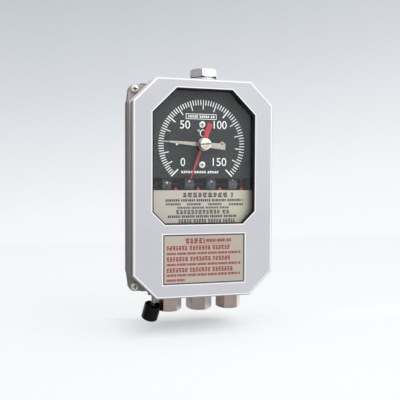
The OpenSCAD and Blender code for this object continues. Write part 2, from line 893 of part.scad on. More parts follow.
module bellows_base() {
    color(brass)
        difference() {
            union() {
                bar_z(rod_x, rod_d, bellows_in_r + base_lap, bellows_low_z - base_t, bellows_low_z);
                bar_z(rod_x, rod_d, base_stem_r, bellows_low_z - base_stem_h, bellows_low_z - base_t);
            }
            bar_z(rod_x, rod_d, tube_r, bellows_low_z - base_stem_h - 1,
                bellows_low_z - base_stem_h + tube_in);
        }
}
module bellows() {
    fold = (bellows_high_z - bellows_low_z) / bellows_folds;
    outside = [for (i = [0:bellows_folds - 1], s = [0, 1])
        [s == 0 ? bellows_in_r : bellows_r, bellows_low_z + (i + s / 2) * fold]];
    inside = [for (i = [len(outside) - 1:-1:0]) outside[i] - [bellows_wall, 0]];
    color(brass)
        translate([rod_x, at_depth(rod_d), 0])
            rotate_extrude()
                polygon(concat(outside, [[bellows_in_r, bellows_high_z],
                    [bellows_in_r - bellows_wall, bellows_high_z]], inside));
}
module bellows_cap() {
    color(brass)
        difference() {
            union() {
                bar_z(rod_x, rod_d, bellows_in_r + base_lap, bellows_high_z, bellows_high_z + cap_t);
                bar_z(rod_x, rod_d, cap_neck_r, bellows_high_z, bellows_high_z + cap_neck_h);
            }
            bar_z(rod_x, rod_d, rod_r, bellows_high_z + cap_t, bellows_high_z + cap_neck_h + 1);
        }
}
pin_r = 1;
pin_out = 1;
rod_end = 2;
pin_z = dial_z - crank_rise;
module push_rod() {
    color(steel) {
        bar_z(rod_x, rod_d, rod_r, bellows_high_z + cap_t, pin_z + rod_end);
        bar_y(rod_x, pin_z, pin_r, crank_d - pin_out, rod_d);
    }
}
// Bar on the rod that lifts the switches' buttons
bar_gap = 0.4;
bar_h = 3;
bar_half_t = 2;
bar_eye = 4;
bar_out = 8.5;
bar_top_z = button_tip_z - bar_gap - rod_rise;
module switch_bar() {
    low = bar_top_z - bar_h;
    back = switch_mid_d + bar_half_t;
    color(steel)
        difference() {
            union() {
                block(wheel_x(0) - bar_out, rod_x + bar_eye, switch_mid_d - bar_half_t, back,
                    low, bar_top_z);
                block(rod_x - bar_eye, rod_x + bar_eye, rod_d - bar_eye, back, low, bar_top_z);
            }
            bar_z(rod_x, rod_d, rod_r, low - 1, bar_top_z + 1);
        }
}

// Chassis: a plate on four posts that carries the movement
post_top_x = 42;
post_top_z = 62;
post_low_x = 30;
post_low_z = -36;
post_places = [[post_top_x, post_top_z], [-post_top_x, post_top_z],
    [post_low_x, post_low_z], [-post_low_x, post_low_z]];
post_boss_h = 4;
post_foot_d = floor_d - post_boss_h;
post_r = 3.5;
post_pin_r = 2;
post_pin_len = 3;
post_boss_r = 6;
chassis_half_w = 50;
chassis_top_z = 86;
chassis_low_z = -46;
module chassis_plate() {
    back = chassis_d + chassis_t;
    color(charcoal)
        difference() {
            union() {
                block(-chassis_half_w, chassis_half_w, chassis_d, back, chassis_low_z, chassis_top_z);
                block(rod_x - bracket_half_w, rod_x + bracket_half_w, chassis_d, back,
                    bracket_low_z, chassis_low_z + 1);
            }
            bar_y(0, dial_z, arbor_r + run, 0, case_depth);
            bar_y(sector_x, dial_z, sector_arbor_r + run, 0, case_depth);
            for (p = post_places)
                bar_y(p[0], p[1], post_pin_r, 0, case_depth);
        }
}
module chassis_posts() {
    color(steel)
        for (p = post_places) {
            bar_y(p[0], p[1], post_r, chassis_d + chassis_t, post_foot_d);
            bar_y(p[0], p[1], post_pin_r, chassis_d, chassis_d + chassis_t);
            bar_y(p[0], p[1], post_pin_r, post_foot_d, post_foot_d + post_pin_len);
        }
}
plate_w = 63;
plate_h = 52;
plate_x = 17.5;
plate_corner = 4;
pillar_r = 2.2;
pillar_pin_r = 1.2;
pillar_x0 = -9;
pillar_x1 = 44.5;
pillar_low = 15.8;
pillar_high = 15.7;
pillar_far = 17.5;
pillar_places = [[pillar_x0, dial_z + pillar_high], [pillar_x0, dial_z - pillar_low],
    [pillar_x1, dial_z + pillar_far], [pillar_x1, dial_z - pillar_far]];
module front_plate() {
    color(brass)
        difference() {
            slab(plate_d, plate_d + plate_t)
                translate([plate_x, dial_z])
                    round_rect(plate_w, plate_h, plate_corner);
            bar_y(0, dial_z, arbor_r + run, 0, case_depth);
            bar_y(sector_x, dial_z, sector_arbor_r + run, 0, case_depth);
            for (p = pillar_places)
                bar_y(p[0], p[1], pillar_pin_r, 0, case_depth);
        }
}
module plate_pillars() {
    color(brass)
        for (p = pillar_places) {
            bar_y(p[0], p[1], pillar_r, plate_d + plate_t, chassis_d);
            bar_y(p[0], p[1], pillar_pin_r, plate_d, plate_d + plate_t);
        }
}

// Gear geometry: the pinion's teeth are moved out and the sector's in, so neither is undercut
press_angle = 20;
tooth_shift = 0.3;
tooth_play = 0.04;
function roll(r, base) = r <= base ? 0 : tan(acos(base / r)) * 180 / PI - acos(base / r);
// Half the angle that a tooth takes up at radius r
function half_tooth(r, n, shift) =
    let (pitch = gear_m * n / 2, base = pitch * cos(press_angle))
    (gear_m * (PI / 2 + 2 * shift * tan(press_angle)) / 2 - tooth_play) / pitch * 180 / PI
    + roll(pitch, base) - roll(r, base);
module tooth(n, shift) {
    pitch = gear_m * n / 2;
    tip = pitch + gear_m * (1 + shift);
    root = pitch - gear_m * (1.25 - shift);
    steps = 6;
    radii = [for (i = [0:steps]) root + (tip - root) * i / steps];
    right = [for (r = radii) r * [cos(half_tooth(r, n, shift)), -sin(half_tooth(r, n, shift))]];
    left = [for (i = [steps:-1:0]) [right[i][0], -right[i][1]]];
    polygon(concat([[root - gear_m, right[0][1]]], right, left, [[root - gear_m, -right[0][1]]]));
}
// Pinion and arbor of the pointer, turned in one piece
arbor_r = 1;
arbor_out = 0.5;
collar_r = 2.2;
collar_t = 1;
pinion_over = 0.6;
hub_out = 0.1;
hub_end_t = 0.4;
hub_front_d = blade_d - hub_out;
module pointer_arbor() {
    root = gear_m * pinion_n / 2 - gear_m * (1.25 - tooth_shift);
    pinion_d = gear_d - pinion_over;
    color(steel) {
        bar_y(0, dial_z, arbor_r, hub_front_d + hub_end_t, chassis_d + chassis_t + arbor_out);
        bar_y(0, dial_z, collar_r, pinion_d - collar_t, pinion_d);
        slab(pinion_d, gear_d + sector_t + pinion_over)
            translate([0, dial_z]) {
                circle(r = root);
                for (i = [0:pinion_n - 1])
                    rotate((i + 0.5) * 360 / pinion_n)
                        tooth(pinion_n, tooth_shift);
            }
    }
}

// Sector gear: teeth where it meets the pinion over the whole scale, and two spokes
sector_rim = 4;
sector_boss_r = 5.5;
spoke_root_r = 9.5;
spoke_w = 5;
spoke_root_w = 12;
module sector_gear() {
    pitch = gear_m * sector_n / 2;
    step = 360 / sector_n;
    root = pitch - gear_m * (1.25 + tooth_shift);
    first = 180 - ceil(swing_hot / step + 1.5) * step;
    last = 180 + ceil(swing_cold / step + 1.5) * step;
    rim_in = root - sector_rim;
    color(brass)
        translate([sector_x, 0, dial_z])
            difference() {
                slab(gear_d, gear_d + sector_t) {
                    circle(r = sector_boss_r);
                    difference() {
                        polygon(concat([[0, 0]], [for (a = [first - step:step / 2:last + step])
                            root * [cos(a), sin(a)]]));
                        polygon([for (a = [first + spoke_w, last - spoke_w]) rim_in * [cos(a), sin(a)],
                            spoke_root_r * [cos(last - spoke_root_w), sin(last - spoke_root_w)],
                            spoke_root_r * [cos(first + spoke_root_w), sin(first + spoke_root_w)]]);
                    }
                    for (a = [first:step:last])
                        rotate(a)
                            tooth(sector_n, -tooth_shift);
                }
                bar_y(0, 0, sector_arbor_r, 0, case_depth);
            }
}
sector_arbor_r = 1.5;
sector_collar_r = 2.6;
module sector_arbor() {
    color(steel) {
        bar_y(sector_x, dial_z, sector_arbor_r, plate_d - arbor_out, chassis_d + chassis_t + arbor_out);
        bar_y(sector_x, dial_z, sector_collar_r, gear_d + sector_t, crank_d);
    }
}
// Crank on the sector's arbor, with a slot for the rod's pin
slot_free = 0.15;
slot_half = 0.6;
crank_boss_r = 4.2;
crank_half_w = 2.4;
module crank_arm() {
    slot_r = pin_r + slot_free;
    color(brass)
        translate([sector_x, 0, dial_z])
            rotate([0, crank_rest, 0])
                difference() {
                    slab(crank_d, crank_d + crank_t) {
                        circle(r = crank_boss_r);
                        translate([0, -crank_half_w])
                            square([crank_r, 2 * crank_half_w]);
                        translate([crank_r + slot_half, 0])
                            circle(r = crank_half_w);
                    }
                    bar_y(0, 0, sector_arbor_r, 0, case_depth);
                    for (s = [-slot_half, slot_half])
                        bar_y(crank_r + s, 0, slot_r, 0, case_depth);
                    block(crank_r - slot_half, crank_r + slot_half, 0, case_depth, -slot_r, slot_r);
                }
}

// Pointer: a thin blade on its hub, with an eye in the tail and a drag pin
hub_r = 3;
hub_neck_r = 1.8;
hub_in = 0.6;
disc_r = 4.2;
arm_w = 4.6;
tail_w = 6.6;
tip_len = 9;
tip_half_w = 1;
needle_len = 7;
needle_half_w = 0.35;
point_half_w = 0.25;
eye_r = 2.4;
eye_hole_r = 1;
eye_off = 2.6;
eye_in = 3.6;
lug_w = 2.4;
lug_out = 3.1;
lug_len = 3;
drag_pin_r = 1;
drag_pin_off = -2.2;
rivet_r = 0.6;
module pointer_hub() {
    color(nickel)
        difference() {
            union() {
                bar_y(0, dial_z, hub_r, hub_front_d, blade_d);
                bar_y(0, dial_z, hub_neck_r, blade_d, dial_d + hub_in);
            }
            bar_y(0, dial_z, arbor_r, hub_front_d + hub_end_t, case_depth);
        }
}
module along(dir) {
    translate([0, 0, dial_z])
        rotate([0, dir, 0])
            children();
}
module pointer() {
    color(nickel)
        along(pointer_dir)
            difference() {
                slab(blade_d, blade_d + blade_t) {
                    circle(r = disc_r);
                    polygon([[arm_w / 2, 0], [tip_half_w, pointer_len - tip_len],
                        [needle_half_w, pointer_len - needle_len], [point_half_w, pointer_len],
                        [-point_half_w, pointer_len], [-needle_half_w, pointer_len - needle_len],
                        [-tip_half_w, pointer_len - tip_len], [-arm_w / 2, 0],
                        [-tail_w / 2, -pointer_tail], [tail_w / 2, -pointer_tail]]);
                    translate([eye_off, eye_in - pointer_tail])
                        circle(r = eye_r);
                    translate([-lug_out, drag_pin_at - lug_w / 2])
                        square([lug_len, lug_w]);
                }
                bar_y(0, 0, hub_neck_r, 0, case_depth);
                bar_y(eye_off, eye_in - pointer_tail, eye_hole_r, 0, case_depth);
                bar_y(drag_pin_off, drag_pin_at, rivet_r, 0, case_depth);
            }
}
module drag_pin() {
    color([0.9, 0.9, 0.88])
        along(pointer_dir) {
            bar_y(drag_pin_off, drag_pin_at, drag_pin_r, drag_d - pin_lap, blade_d);
            bar_y(drag_pin_off, drag_pin_at, rivet_r, blade_d, blade_d + blade_t);
        }
}
// Red drag pointer on the knob's spindle, just behind the glass
drag_d = 8.5;
pin_lap = 0.2;
drag_disc_r = 4;
drag_arm_w = 3.7;
drag_point_w = 0.8;
drag_tail_w = 5.2;
spindle_r = 2;
spindle_end_r = 1.5;
module drag_pointer() {
    color(red)
        along(drag_dir)
            difference() {
                slab(drag_d, drag_d + blade_t) {
                    circle(r = drag_disc_r);
                    polygon([[drag_arm_w / 2, 0], [drag_point_w / 2, drag_len],
                        [-drag_point_w / 2, drag_len], [-drag_arm_w / 2, 0]]);
                    translate([-drag_tail_w / 2, -drag_tail])
                        square([drag_tail_w, drag_tail]);
                }
                bar_y(0, 0, spindle_end_r, 0, case_depth);
            }
}
knob_t = 5.6;
knob_disc_t = 1.7;
knob_neck_r = 4.6;
knob_edge = 0.5;
knob_slot_w = 1;
knob_slot_t = 1.2;
knob_turn = -4;
knob_bush_r = 4;
module reset_knob() {
    color([0.92, 0.90, 0.84])
        difference() {
            union() {
                translate([0, at_depth(knob_t - knob_out), dial_z])
                    rotate([90, 0, 0])
                        rotate_extrude()
                            polygon([[0, 0], [knob_neck_r, 0], [knob_neck_r, knob_t - knob_disc_t],
                                [knob_r, knob_t - knob_disc_t], [knob_r, knob_t - knob_edge],
                                [knob_r - knob_edge, knob_t], [0, knob_t]]);
                bar_y(0, dial_z, spindle_r, knob_t - knob_out - eps, drag_d);
                bar_y(0, dial_z, spindle_end_r, drag_d, drag_d + blade_t);
            }
            translate([0, at_depth(-knob_out), dial_z])
                rotate([0, knob_turn, 0])
                    cube([2 * knob_r + 1, 2 * knob_slot_t, knob_slot_w], center = true);
        }
}
// Bush in the glass that the knob turns in, and its nut behind the glass
bush_flange_r = 6.5;
bush_flange_t = 1.5;
glass_nut_t = 1.2;
glass_nut_af = 11;
module reset_bush() {
    color(nickel)
        difference() {
            union() {
                bar_y(0, dial_z, bush_flange_r, glass_front - bush_flange_t, glass_front);
                bar_y(0, dial_z, knob_bush_r, glass_front, glass_back + glass_nut_t);
            }
            bar_y(0, dial_z, spindle_r + run, 0, case_depth);
        }
}
module reset_bush_nut() {
    color(steel)
        difference() {
            slab(glass_back, glass_back + glass_nut_t)
                translate([0, dial_z])
                    circle(r = glass_nut_af / sqrt(3), $fn = 6);
            bar_y(0, dial_z, knob_bush_r, 0, case_depth);
        }
}

// Dial plate with its scale marks, and the beige plate below it
data_over = 0.5;
data_d = dial_d - data_over;
data_t = 1;
data_top_z = -1.8;
data_low_z = -46;
data_half_w = 56;
data_cut_top = 0.5;
data_cut_low = 6;
data_screw_x = 36.5;
data_screw_in = 5;
dial_screw_places = [[0, dial_z + dial_screw_z], [0, dial_z - dial_screw_z]];
data_screw_z = data_low_z + data_screw_in;
data_screw_places = [[data_screw_x, data_screw_z], [-data_screw_x, data_screw_z]];
plate_screw_r = 1.5;
plate_screw_len = 5;
plate_head_r = 3.3;
plate_head_t = 1.2;
plate_post_r = 3;
// Lengths and widths of the scale marks
long_mark = 10;
short_mark = 5.4;
wide_mark = 1.3;
thin_mark = 0.9;
dial_hole_r = 3.2;
dial_cut_low = 3;
module scale_mark(t, len, w) {
    rotate([0, zero_dir + scale_turn(t), 0])
        block(-w / 2, w / 2, dial_d - ink_t, dial_d + ink_t, scale_r - len, scale_r);
}
module dial_plate() {
    mid = (dial_top_z + dial_low_z) / 2;
    color(charcoal)
        difference() {
            slab(dial_d, dial_d + dial_t)
                translate([0, mid])
                    polygon(octagon(2 * dial_half_w, dial_top_z - dial_low_z,
                        window_cut_top, dial_cut_low));
            bar_y(0, dial_z, dial_hole_r, 0, case_depth);
            for (p = dial_screw_places)
                bar_y(p[0], p[1], plate_screw_r, 0, case_depth);
        }
    color("white")
        translate([0, 0, dial_z])
            for (t = [0:2:scale_max])
                if (t % 50 == 0)
                    scale_mark(t, long_mark, wide_mark);
                else if (t % 10 == 0)
                    scale_mark(t, long_mark, thin_mark);
                else
                    scale_mark(t, short_mark, thin_mark);
}
module data_plate() {
    mid = (data_top_z + data_low_z) / 2;
    color(beige)
        difference() {
            slab(data_d, data_d + data_t)
                translate([0, mid])
                    polygon(octagon(2 * data_half_w, data_top_z - data_low_z, data_cut_top, data_cut_low));
            for (p = data_screw_places)
                bar_y(p[0], p[1], plate_screw_r, 0, case_depth);
        }
}
module plate_screws() {
    color(nickel) {
        for (p = dial_screw_places)
            translate([p[0], 0, p[1]])
                pan_screw(dial_d, plate_screw_r, plate_screw_len, plate_head_r, plate_head_t);
        for (p = data_screw_places)
            translate([p[0], 0, p[1]])
                pan_screw(data_d, plate_screw_r, plate_screw_len, plate_head_r, plate_head_t);
    }
}
// Posts under both plates, drilled for the screws
module plate_posts() {
    color(steel) {
        for (p = dial_screw_places)
            difference() {
                bar_y(p[0], p[1], plate_post_r, dial_d + dial_t, plate_d);
                bar_y(p[0], p[1], plate_screw_r, 0, dial_d + plate_screw_len + screw_end);
            }
        for (p = data_screw_places)
            difference() {
                bar_y(p[0], p[1], plate_post_r, data_d + data_t, chassis_d);
                bar_y(p[0], p[1], plate_screw_r, 0, data_d + plate_screw_len + screw_end);
            }
    }
}
// Small red fingers on the data plate's upper edge, one beside each wheel
finger_off = 9;
finger_t = 0.8;
finger_half_w = 1.3;
finger_low = 5.2;
finger_shoulder = 1.6;
finger_tip = 3.4;
module index_fingers() {
    shoulder_z = data_top_z + finger_shoulder;
    color(red)
        for (i = [0:3])
            slab(data_d + data_t, data_d + data_t + finger_t)
                translate([wheel_x(i) + finger_off, 0])
                    polygon([[-finger_half_w, data_top_z - finger_low],
                        [finger_half_w, data_top_z - finger_low], [finger_half_w, shoulder_z],
                        [0, data_top_z + finger_tip], [-finger_half_w, shoulder_z]]);
}

// Setting wheels on one axle between the cheeks of a bracket
wheels_off = -0.9;
function wheel_x(i) = wheel_pitch * (i - 1.5) + wheels_off;
cheek_gap = 4.9;
cheek_x = 1.5 * wheel_pitch - wheels_off + wheel_w / 2 + cheek_gap;
cheek_t = 1.5;
cheek_half_h = 4;
rail_half_h = 7;
axle_r = 1.5;
module wheel_bracket() {
    color(steel)
        difference() {
            union() {
                block(-cheek_x - cheek_t, cheek_x + cheek_t, chassis_d - cheek_t, chassis_d,
                    wheel_z - rail_half_h, wheel_z + rail_half_h);
                for (x = [-cheek_x - cheek_t, cheek_x])
                    block(x, x + cheek_t, wheel_d - cheek_half_h, chassis_d,
                        wheel_z - cheek_half_h, wheel_z + cheek_half_h);
            }
            bar_x(wheel_d, wheel_z, axle_r, -case_w, case_w);
        }
}
module wheel_axle() {
    color(steel)
        bar_x(wheel_d, wheel_z, axle_r, -cheek_x - cheek_t, cheek_x + cheek_t);
}
grooves = 30;
groove_r = 0.65;
groove_out = 0.3;
module setting_wheel(i) {
    color(charcoal)
        translate([wheel_x(i) - wheel_w / 2, at_depth(wheel_d), wheel_z])
            rotate([0, 90, 0])
                difference() {
                    linear_extrude(wheel_w)
                        difference() {
                            circle(r = wheel_r);
                            for (k = [0:grooves - 1])
                                rotate(k * 360 / grooves)
                                    translate([wheel_r + groove_out, 0])
                                        circle(r = groove_r, $fn = 16);
                        }
                    translate([0, 0, -1])
                        cylinder(r = axle_r + run, h = wheel_w + 2);
                }
}
module setting_wheel_1() { setting_wheel(0); }
module setting_wheel_2() { setting_wheel(1); }
module setting_wheel_3() { setting_wheel(2); }
module setting_wheel_4() { setting_wheel(3); }

// Snap switches on the chassis, each with a button on its underside
lug_half_w = 1.2;
lug_half_t = 0.25;
lug_h = 4;
lug_pitch = 7;
switch_hole_x = 5;
switch_hole_in = 7.5;
switch_hole_r = 1.1;
button_free = 0.05;
button_bore_in = 5;
button_in = 6.5;
module micro_switches() {
    color(black)
        for (i = [0:3])
            difference() {
                union() {
                    block(wheel_x(i) - switch_w / 2, wheel_x(i) + switch_w / 2,
                        chassis_d - switch_t, chassis_d, switch_top_z - switch_h, switch_top_z);
                    for (s = [-lug_pitch, 0, lug_pitch])
                        block(wheel_x(i) + s - lug_half_w, wheel_x(i) + s + lug_half_w,
                            switch_mid_d - lug_half_t, switch_mid_d + lug_half_t,
                            switch_top_z - 1, switch_top_z + lug_h);
                }
                bar_z(wheel_x(i), switch_mid_d, button_r + button_free, switch_top_z - switch_h - 1,
                    switch_top_z - button_bore_in);
                for (s = [-switch_hole_x, switch_hole_x])
                    bar_y(wheel_x(i) + s, switch_top_z - switch_hole_in, switch_hole_r, 0, case_depth);
            }
}
module switch_button(i) {
    color(red)
        bar_z(wheel_x(i), switch_mid_d, button_r, button_tip_z, switch_top_z - button_in);
}
module switch_button_1() { switch_button(0); }
module switch_button_2() { switch_button(1); }
module switch_button_3() { switch_button(2); }
module switch_button_4() { switch_button(3); }

// Terminal strip on the housing's floor, with a screw over each clamp
strip_n = 8;
strip_pitch = 8.5;
strip_deep = 14;
strip_h = 20;
strip_z0 = -70;
strip_end = 1;
strip_wall = 2.1;
wire_slot_deep = 5;
wire_slot_h = 6;
clamp_screw_r = 2.3;
clamp_screw_len = 4;
clamp_screw_in = 2;
clamp_slot_t = 0.7;
clamp_slot_w = 0.7;
strip_d = floor_d - strip_deep;
strip_mid_z = strip_z0 + strip_h / 2;
function strip_x(i) = (i - (strip_n - 1) / 2) * strip_pitch;
module terminal_block() {
    half = strip_n * strip_pitch / 2 + strip_end;
    slot = (strip_pitch - strip_wall) / 2;
    top_z = strip_z0 + strip_h;
    color(black)
        difference() {
            block(-half, half, strip_d, floor_d, strip_z0, top_z);
            for (i = [0:strip_n - 1]) {
                block(strip_x(i) - slot, strip_x(i) + slot, strip_d - 1, strip_d + wire_slot_deep,
                    strip_z0 - 1, strip_z0 + wire_slot_h);
                block(strip_x(i) - slot, strip_x(i) + slot, strip_d - 1, strip_d + wire_slot_deep,
                    top_z - wire_slot_h, top_z + 1);
                bar_y(strip_x(i), strip_mid_z, clamp_screw_r + fit, strip_d - 1,
                    strip_d + clamp_screw_in + clamp_screw_len);
            }
        }
}
module terminal_screws() {
    head_d = strip_d + clamp_screw_in;
    color(brass)
        for (i = [0:strip_n - 1])
            difference() {
                bar_y(strip_x(i), strip_mid_z, clamp_screw_r, head_d, head_d + clamp_screw_len);
                translate([strip_x(i), at_depth(head_d), strip_mid_z])
                    cube([2 * clamp_screw_r + 1, 2 * clamp_slot_t, clamp_slot_w], center = true);
            }
}

base_housing();
cover();
cover_gasket();
cover_screws();
window_glass();
window_seal();
glass_frame();
glass_frame_screws();
notice_plate();
vent_plug();
sealing_washers();
gland_bodies();
gland_nuts();
gland_seals();
gland_locknuts();
capillary_bush();
bush_locknut();
capillary_stem();
end_sleeve();
inner_capillary();
bellows_bracket();
bellows_base();
bellows();
bellows_cap();
push_rod();
switch_bar();
chassis_plate();
chassis_posts();
front_plate();
plate_pillars();
sector_gear();
sector_arbor();
crank_arm();
pointer_arbor();
pointer_hub();
pointer();
drag_pin();
drag_pointer();
reset_knob();
reset_bush();
reset_bush_nut();
plate_posts();
dial_plate();
data_plate();
plate_screws();
index_fingers();
wheel_bracket();
wheel_axle();
setting_wheel_1();
setting_wheel_2();
setting_wheel_3();
setting_wheel_4();
micro_switches();
switch_button_1();
switch_button_2();
switch_button_3();
switch_button_4();
terminal_block();
terminal_screws();
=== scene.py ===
"""Looks of a wall-hung dial controller for the oil temperature of a transformer.

The file follows the controller as it is put together: the case first, then its fittings, the dial
behind the window, the pointers, and what shows below the dial. Lengths are metres and angles
degrees, unless a comment says otherwise.
"""

import math

import bpy
from mathutils import Euler, Matrix, Vector


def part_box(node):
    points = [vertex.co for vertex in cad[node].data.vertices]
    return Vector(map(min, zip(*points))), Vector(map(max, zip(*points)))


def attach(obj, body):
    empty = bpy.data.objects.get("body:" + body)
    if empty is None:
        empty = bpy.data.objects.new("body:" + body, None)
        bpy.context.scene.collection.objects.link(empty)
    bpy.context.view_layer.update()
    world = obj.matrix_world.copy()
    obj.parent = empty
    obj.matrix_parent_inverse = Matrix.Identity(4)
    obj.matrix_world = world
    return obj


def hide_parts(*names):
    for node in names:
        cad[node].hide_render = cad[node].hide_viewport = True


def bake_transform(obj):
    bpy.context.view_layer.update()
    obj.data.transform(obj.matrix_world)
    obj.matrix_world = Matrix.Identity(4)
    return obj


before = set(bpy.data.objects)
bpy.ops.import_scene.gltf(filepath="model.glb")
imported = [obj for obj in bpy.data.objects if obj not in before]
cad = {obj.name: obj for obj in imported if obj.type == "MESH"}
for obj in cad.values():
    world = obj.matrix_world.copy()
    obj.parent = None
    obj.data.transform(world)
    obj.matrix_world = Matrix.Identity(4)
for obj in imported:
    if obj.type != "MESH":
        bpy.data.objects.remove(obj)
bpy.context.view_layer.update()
mm = 0.001
scene = bpy.context.scene
scene.view_settings.view_transform = "Standard"


# Camera, floor and light
# The photograph is taken from a little left of the dial's axis, almost level with the case's middle.
# A pale floor lies under the hanging case, and a soft lamp stands high on the right.
camera_place = Vector((-0.1648, -0.6519, 0.0102))
camera_turn, camera_dip, camera_roll = 15.70, 2.11, 0.23
focal_mm, film_mm = 52.14, 36.0
floor_z = -0.156

camera_data = bpy.data.cameras.new("photo_camera")
camera_data.lens = focal_mm
camera_data.sensor_width = film_mm
camera = bpy.data.objects.new("photo_camera", camera_data)
aim = Euler((math.radians(90 - camera_dip), 0, math.radians(-camera_turn))).to_matrix()
aim = aim @ Matrix.Rotation(math.radians(camera_roll), 3, "Z")
camera.matrix_world = Matrix.Translation(camera_place) @ aim.to_4x4()
scene.collection.objects.link(camera)
scene.camera = camera


def srgb(red, green, blue):
    """A colour read in 0 to 255, as the linear value that a shader takes."""
    parts = [c / 255 for c in (red, green, blue)]
    return tuple(c / 12.92 if c < 0.04045 else ((c + 0.055) / 1.055) ** 2.4 for c in parts) + (1.0,)


def add_node(tree, kind, values=(), **settings):
    """A shader node with its settings made and its sockets filled: values are (socket, value or socket)."""
    node = tree.nodes.new(kind)
    for name, value in settings.items():
        setattr(node, name, value)
    for socket, value in values:
        if isinstance(value, bpy.types.NodeSocket):
            tree.links.new(value, node.inputs[socket])
        else:
            node.inputs[socket].default_value = value
    return node


def blank_material(name):
    """A node material that has only its Principled shader: the material, its tree and the shader."""
    material = bpy.data.materials.new(name)
    material.use_nodes = True
    return material, material.node_tree, material.node_tree.nodes["Principled BSDF"]


def choose(*pieces):
    """Selects only these pieces and makes the first of them active."""
    bpy.ops.object.select_all(action="DESELECT")
    for piece in pieces:
        piece.select_set(True)
    bpy.context.view_layer.objects.active = pieces[0]


def soft_lamp(name, place, target, width, height, watts, colour):
    """A rectangular soft box that looks at a point."""
    data = bpy.data.lights.new(name, "AREA")
    data.shape = "RECTANGLE"
    data.size, data.size_y = width, height
    data.energy = watts
    data.color = colour
    lamp = bpy.data.objects.new(name, data)
    lamp.location = place
    lamp.rotation_euler = (Vector(target) - Vector(place)).to_track_quat("-Z", "Y").to_euler()
    scene.collection.objects.link(lamp)


soft_lamp(
    "key_box", place=(0.50, -0.80, 0.80), target=(0, -0.05, 0.03), width=0.8, height=0.8, watts=9.0,
    colour=(1.0, 0.99, 0.98),
)

# The camera sees an even backdrop that darkens upwards and to the left. Everything else is lit by a
# room that is bright in front, above and on the right, and dark behind the case on the left.
world = bpy.data.worlds.new("pale_room")
world.use_nodes = True
scene.world = world
room = world.node_tree
room.nodes.clear()
toward = add_node(room, "ShaderNodeTexCoord")
turned = add_node(
    room, "ShaderNodeMapping",
    [("Vector", toward.outputs["Generated"]), ("Rotation", (0, 0, math.radians(camera_turn)))],
)
rise = add_node(
    room, "ShaderNodeVectorMath", [(0, turned.outputs[0]), (1, (-0.15, 0, 1.0))], operation="DOT_PRODUCT",
)
climb = add_node(
    room, "ShaderNodeMapRange", [("Value", rise.outputs["Value"]), ("From Min", -0.12), ("From Max", 0.42)],
)
backdrop = add_node(room, "ShaderNodeValToRGB", [("Fac", climb.outputs[0])])
backdrop_steps = (
    (0.0, srgb(248, 250, 251)), (0.18, srgb(244, 246, 248)), (0.36, srgb(232, 234, 238)),
    (0.56, srgb(215, 219, 224)), (0.80, srgb(198, 203, 209)), (1.0, srgb(187, 193, 199)),
)
backdrop.color_ramp.elements[0].color = backdrop_steps[0][1]
backdrop.color_ramp.elements[-1].color = backdrop_steps[-1][1]
for position, colour in backdrop_steps[1:-1]:
    backdrop.color_ramp.elements.new(position).color = colour
lit_from = add_node(
    room, "ShaderNodeVectorMath", [(0, toward.outputs["Generated"]), (1, (0.45, -0.60, 0.66))],
    operation="DOT_PRODUCT",
)
lit_share = add_node(
    room, "ShaderNodeMapRange",
    [("Value", lit_from.outputs["Value"]), ("From Min", -0.75), ("From Max", 0.85), ("To Min", 0.03)],
    interpolation_type="SMOOTHSTEP",
)
path = add_node(room, "ShaderNodeLightPath")
# Polished faces also mirror the bright backdrop behind the case.
heading = add_node(room, "ShaderNodeSeparateXYZ", [(0, toward.outputs["Generated"])])
behind = add_node(
    room, "ShaderNodeMapRange", [("Value", heading.outputs["Y"]), ("From Min", 0.15), ("From Max", 0.75)],
)
mirrored = add_node(
    room, "ShaderNodeMath", [(0, behind.outputs[0]), (1, path.outputs["Is Glossy Ray"])],
    operation="MULTIPLY",
)
lit_all = add_node(
    room, "ShaderNodeMath", [(0, lit_share.outputs[0]), (1, mirrored.outputs[0])], operation="MAXIMUM",
)
seen_share = add_node(
    room, "ShaderNodeMath", [(0, path.outputs["Is Camera Ray"]), (1, path.outputs["Is Transmission Ray"])],
    operation="MAXIMUM",
)
glow_seen = add_node(room, "ShaderNodeBackground", [("Color", backdrop.outputs["Color"]), ("Strength", 1.0)])
glow_fill = add_node(
    room, "ShaderNodeBackground", [("Color", srgb(243, 244, 247)), ("Strength", lit_all.outputs[0])],
)
room_mix = add_node(
    room, "ShaderNodeMixShader",
    [(0, seen_share.outputs[0]), (1, glow_fill.outputs[0]), (2, glow_seen.outputs[0])],
)
add_node(room, "ShaderNodeOutputWorld", [("Surface", room_mix.outputs[0])])

floor_size, floor_mid_y = 14, 3.0
bpy.ops.mesh.primitive_plane_add(size=floor_size, location=(0, floor_mid_y, floor_z))
floor = bpy.context.object
floor.name = "pale_floor"
floor_paint, floor_tree, floor_skin = blank_material("pale_floor")
floor_skin.inputs["Base Color"].default_value = srgb(251, 252, 253)
floor_skin.inputs["Roughness"].default_value = 0.9
floor_skin.inputs["Specular IOR Level"].default_value = 0.1
floor_place = add_node(floor_tree, "ShaderNodeTexCoord")
floor_axes = add_node(floor_tree, "ShaderNodeSeparateXYZ", [(0, floor_place.outputs["Object"])])
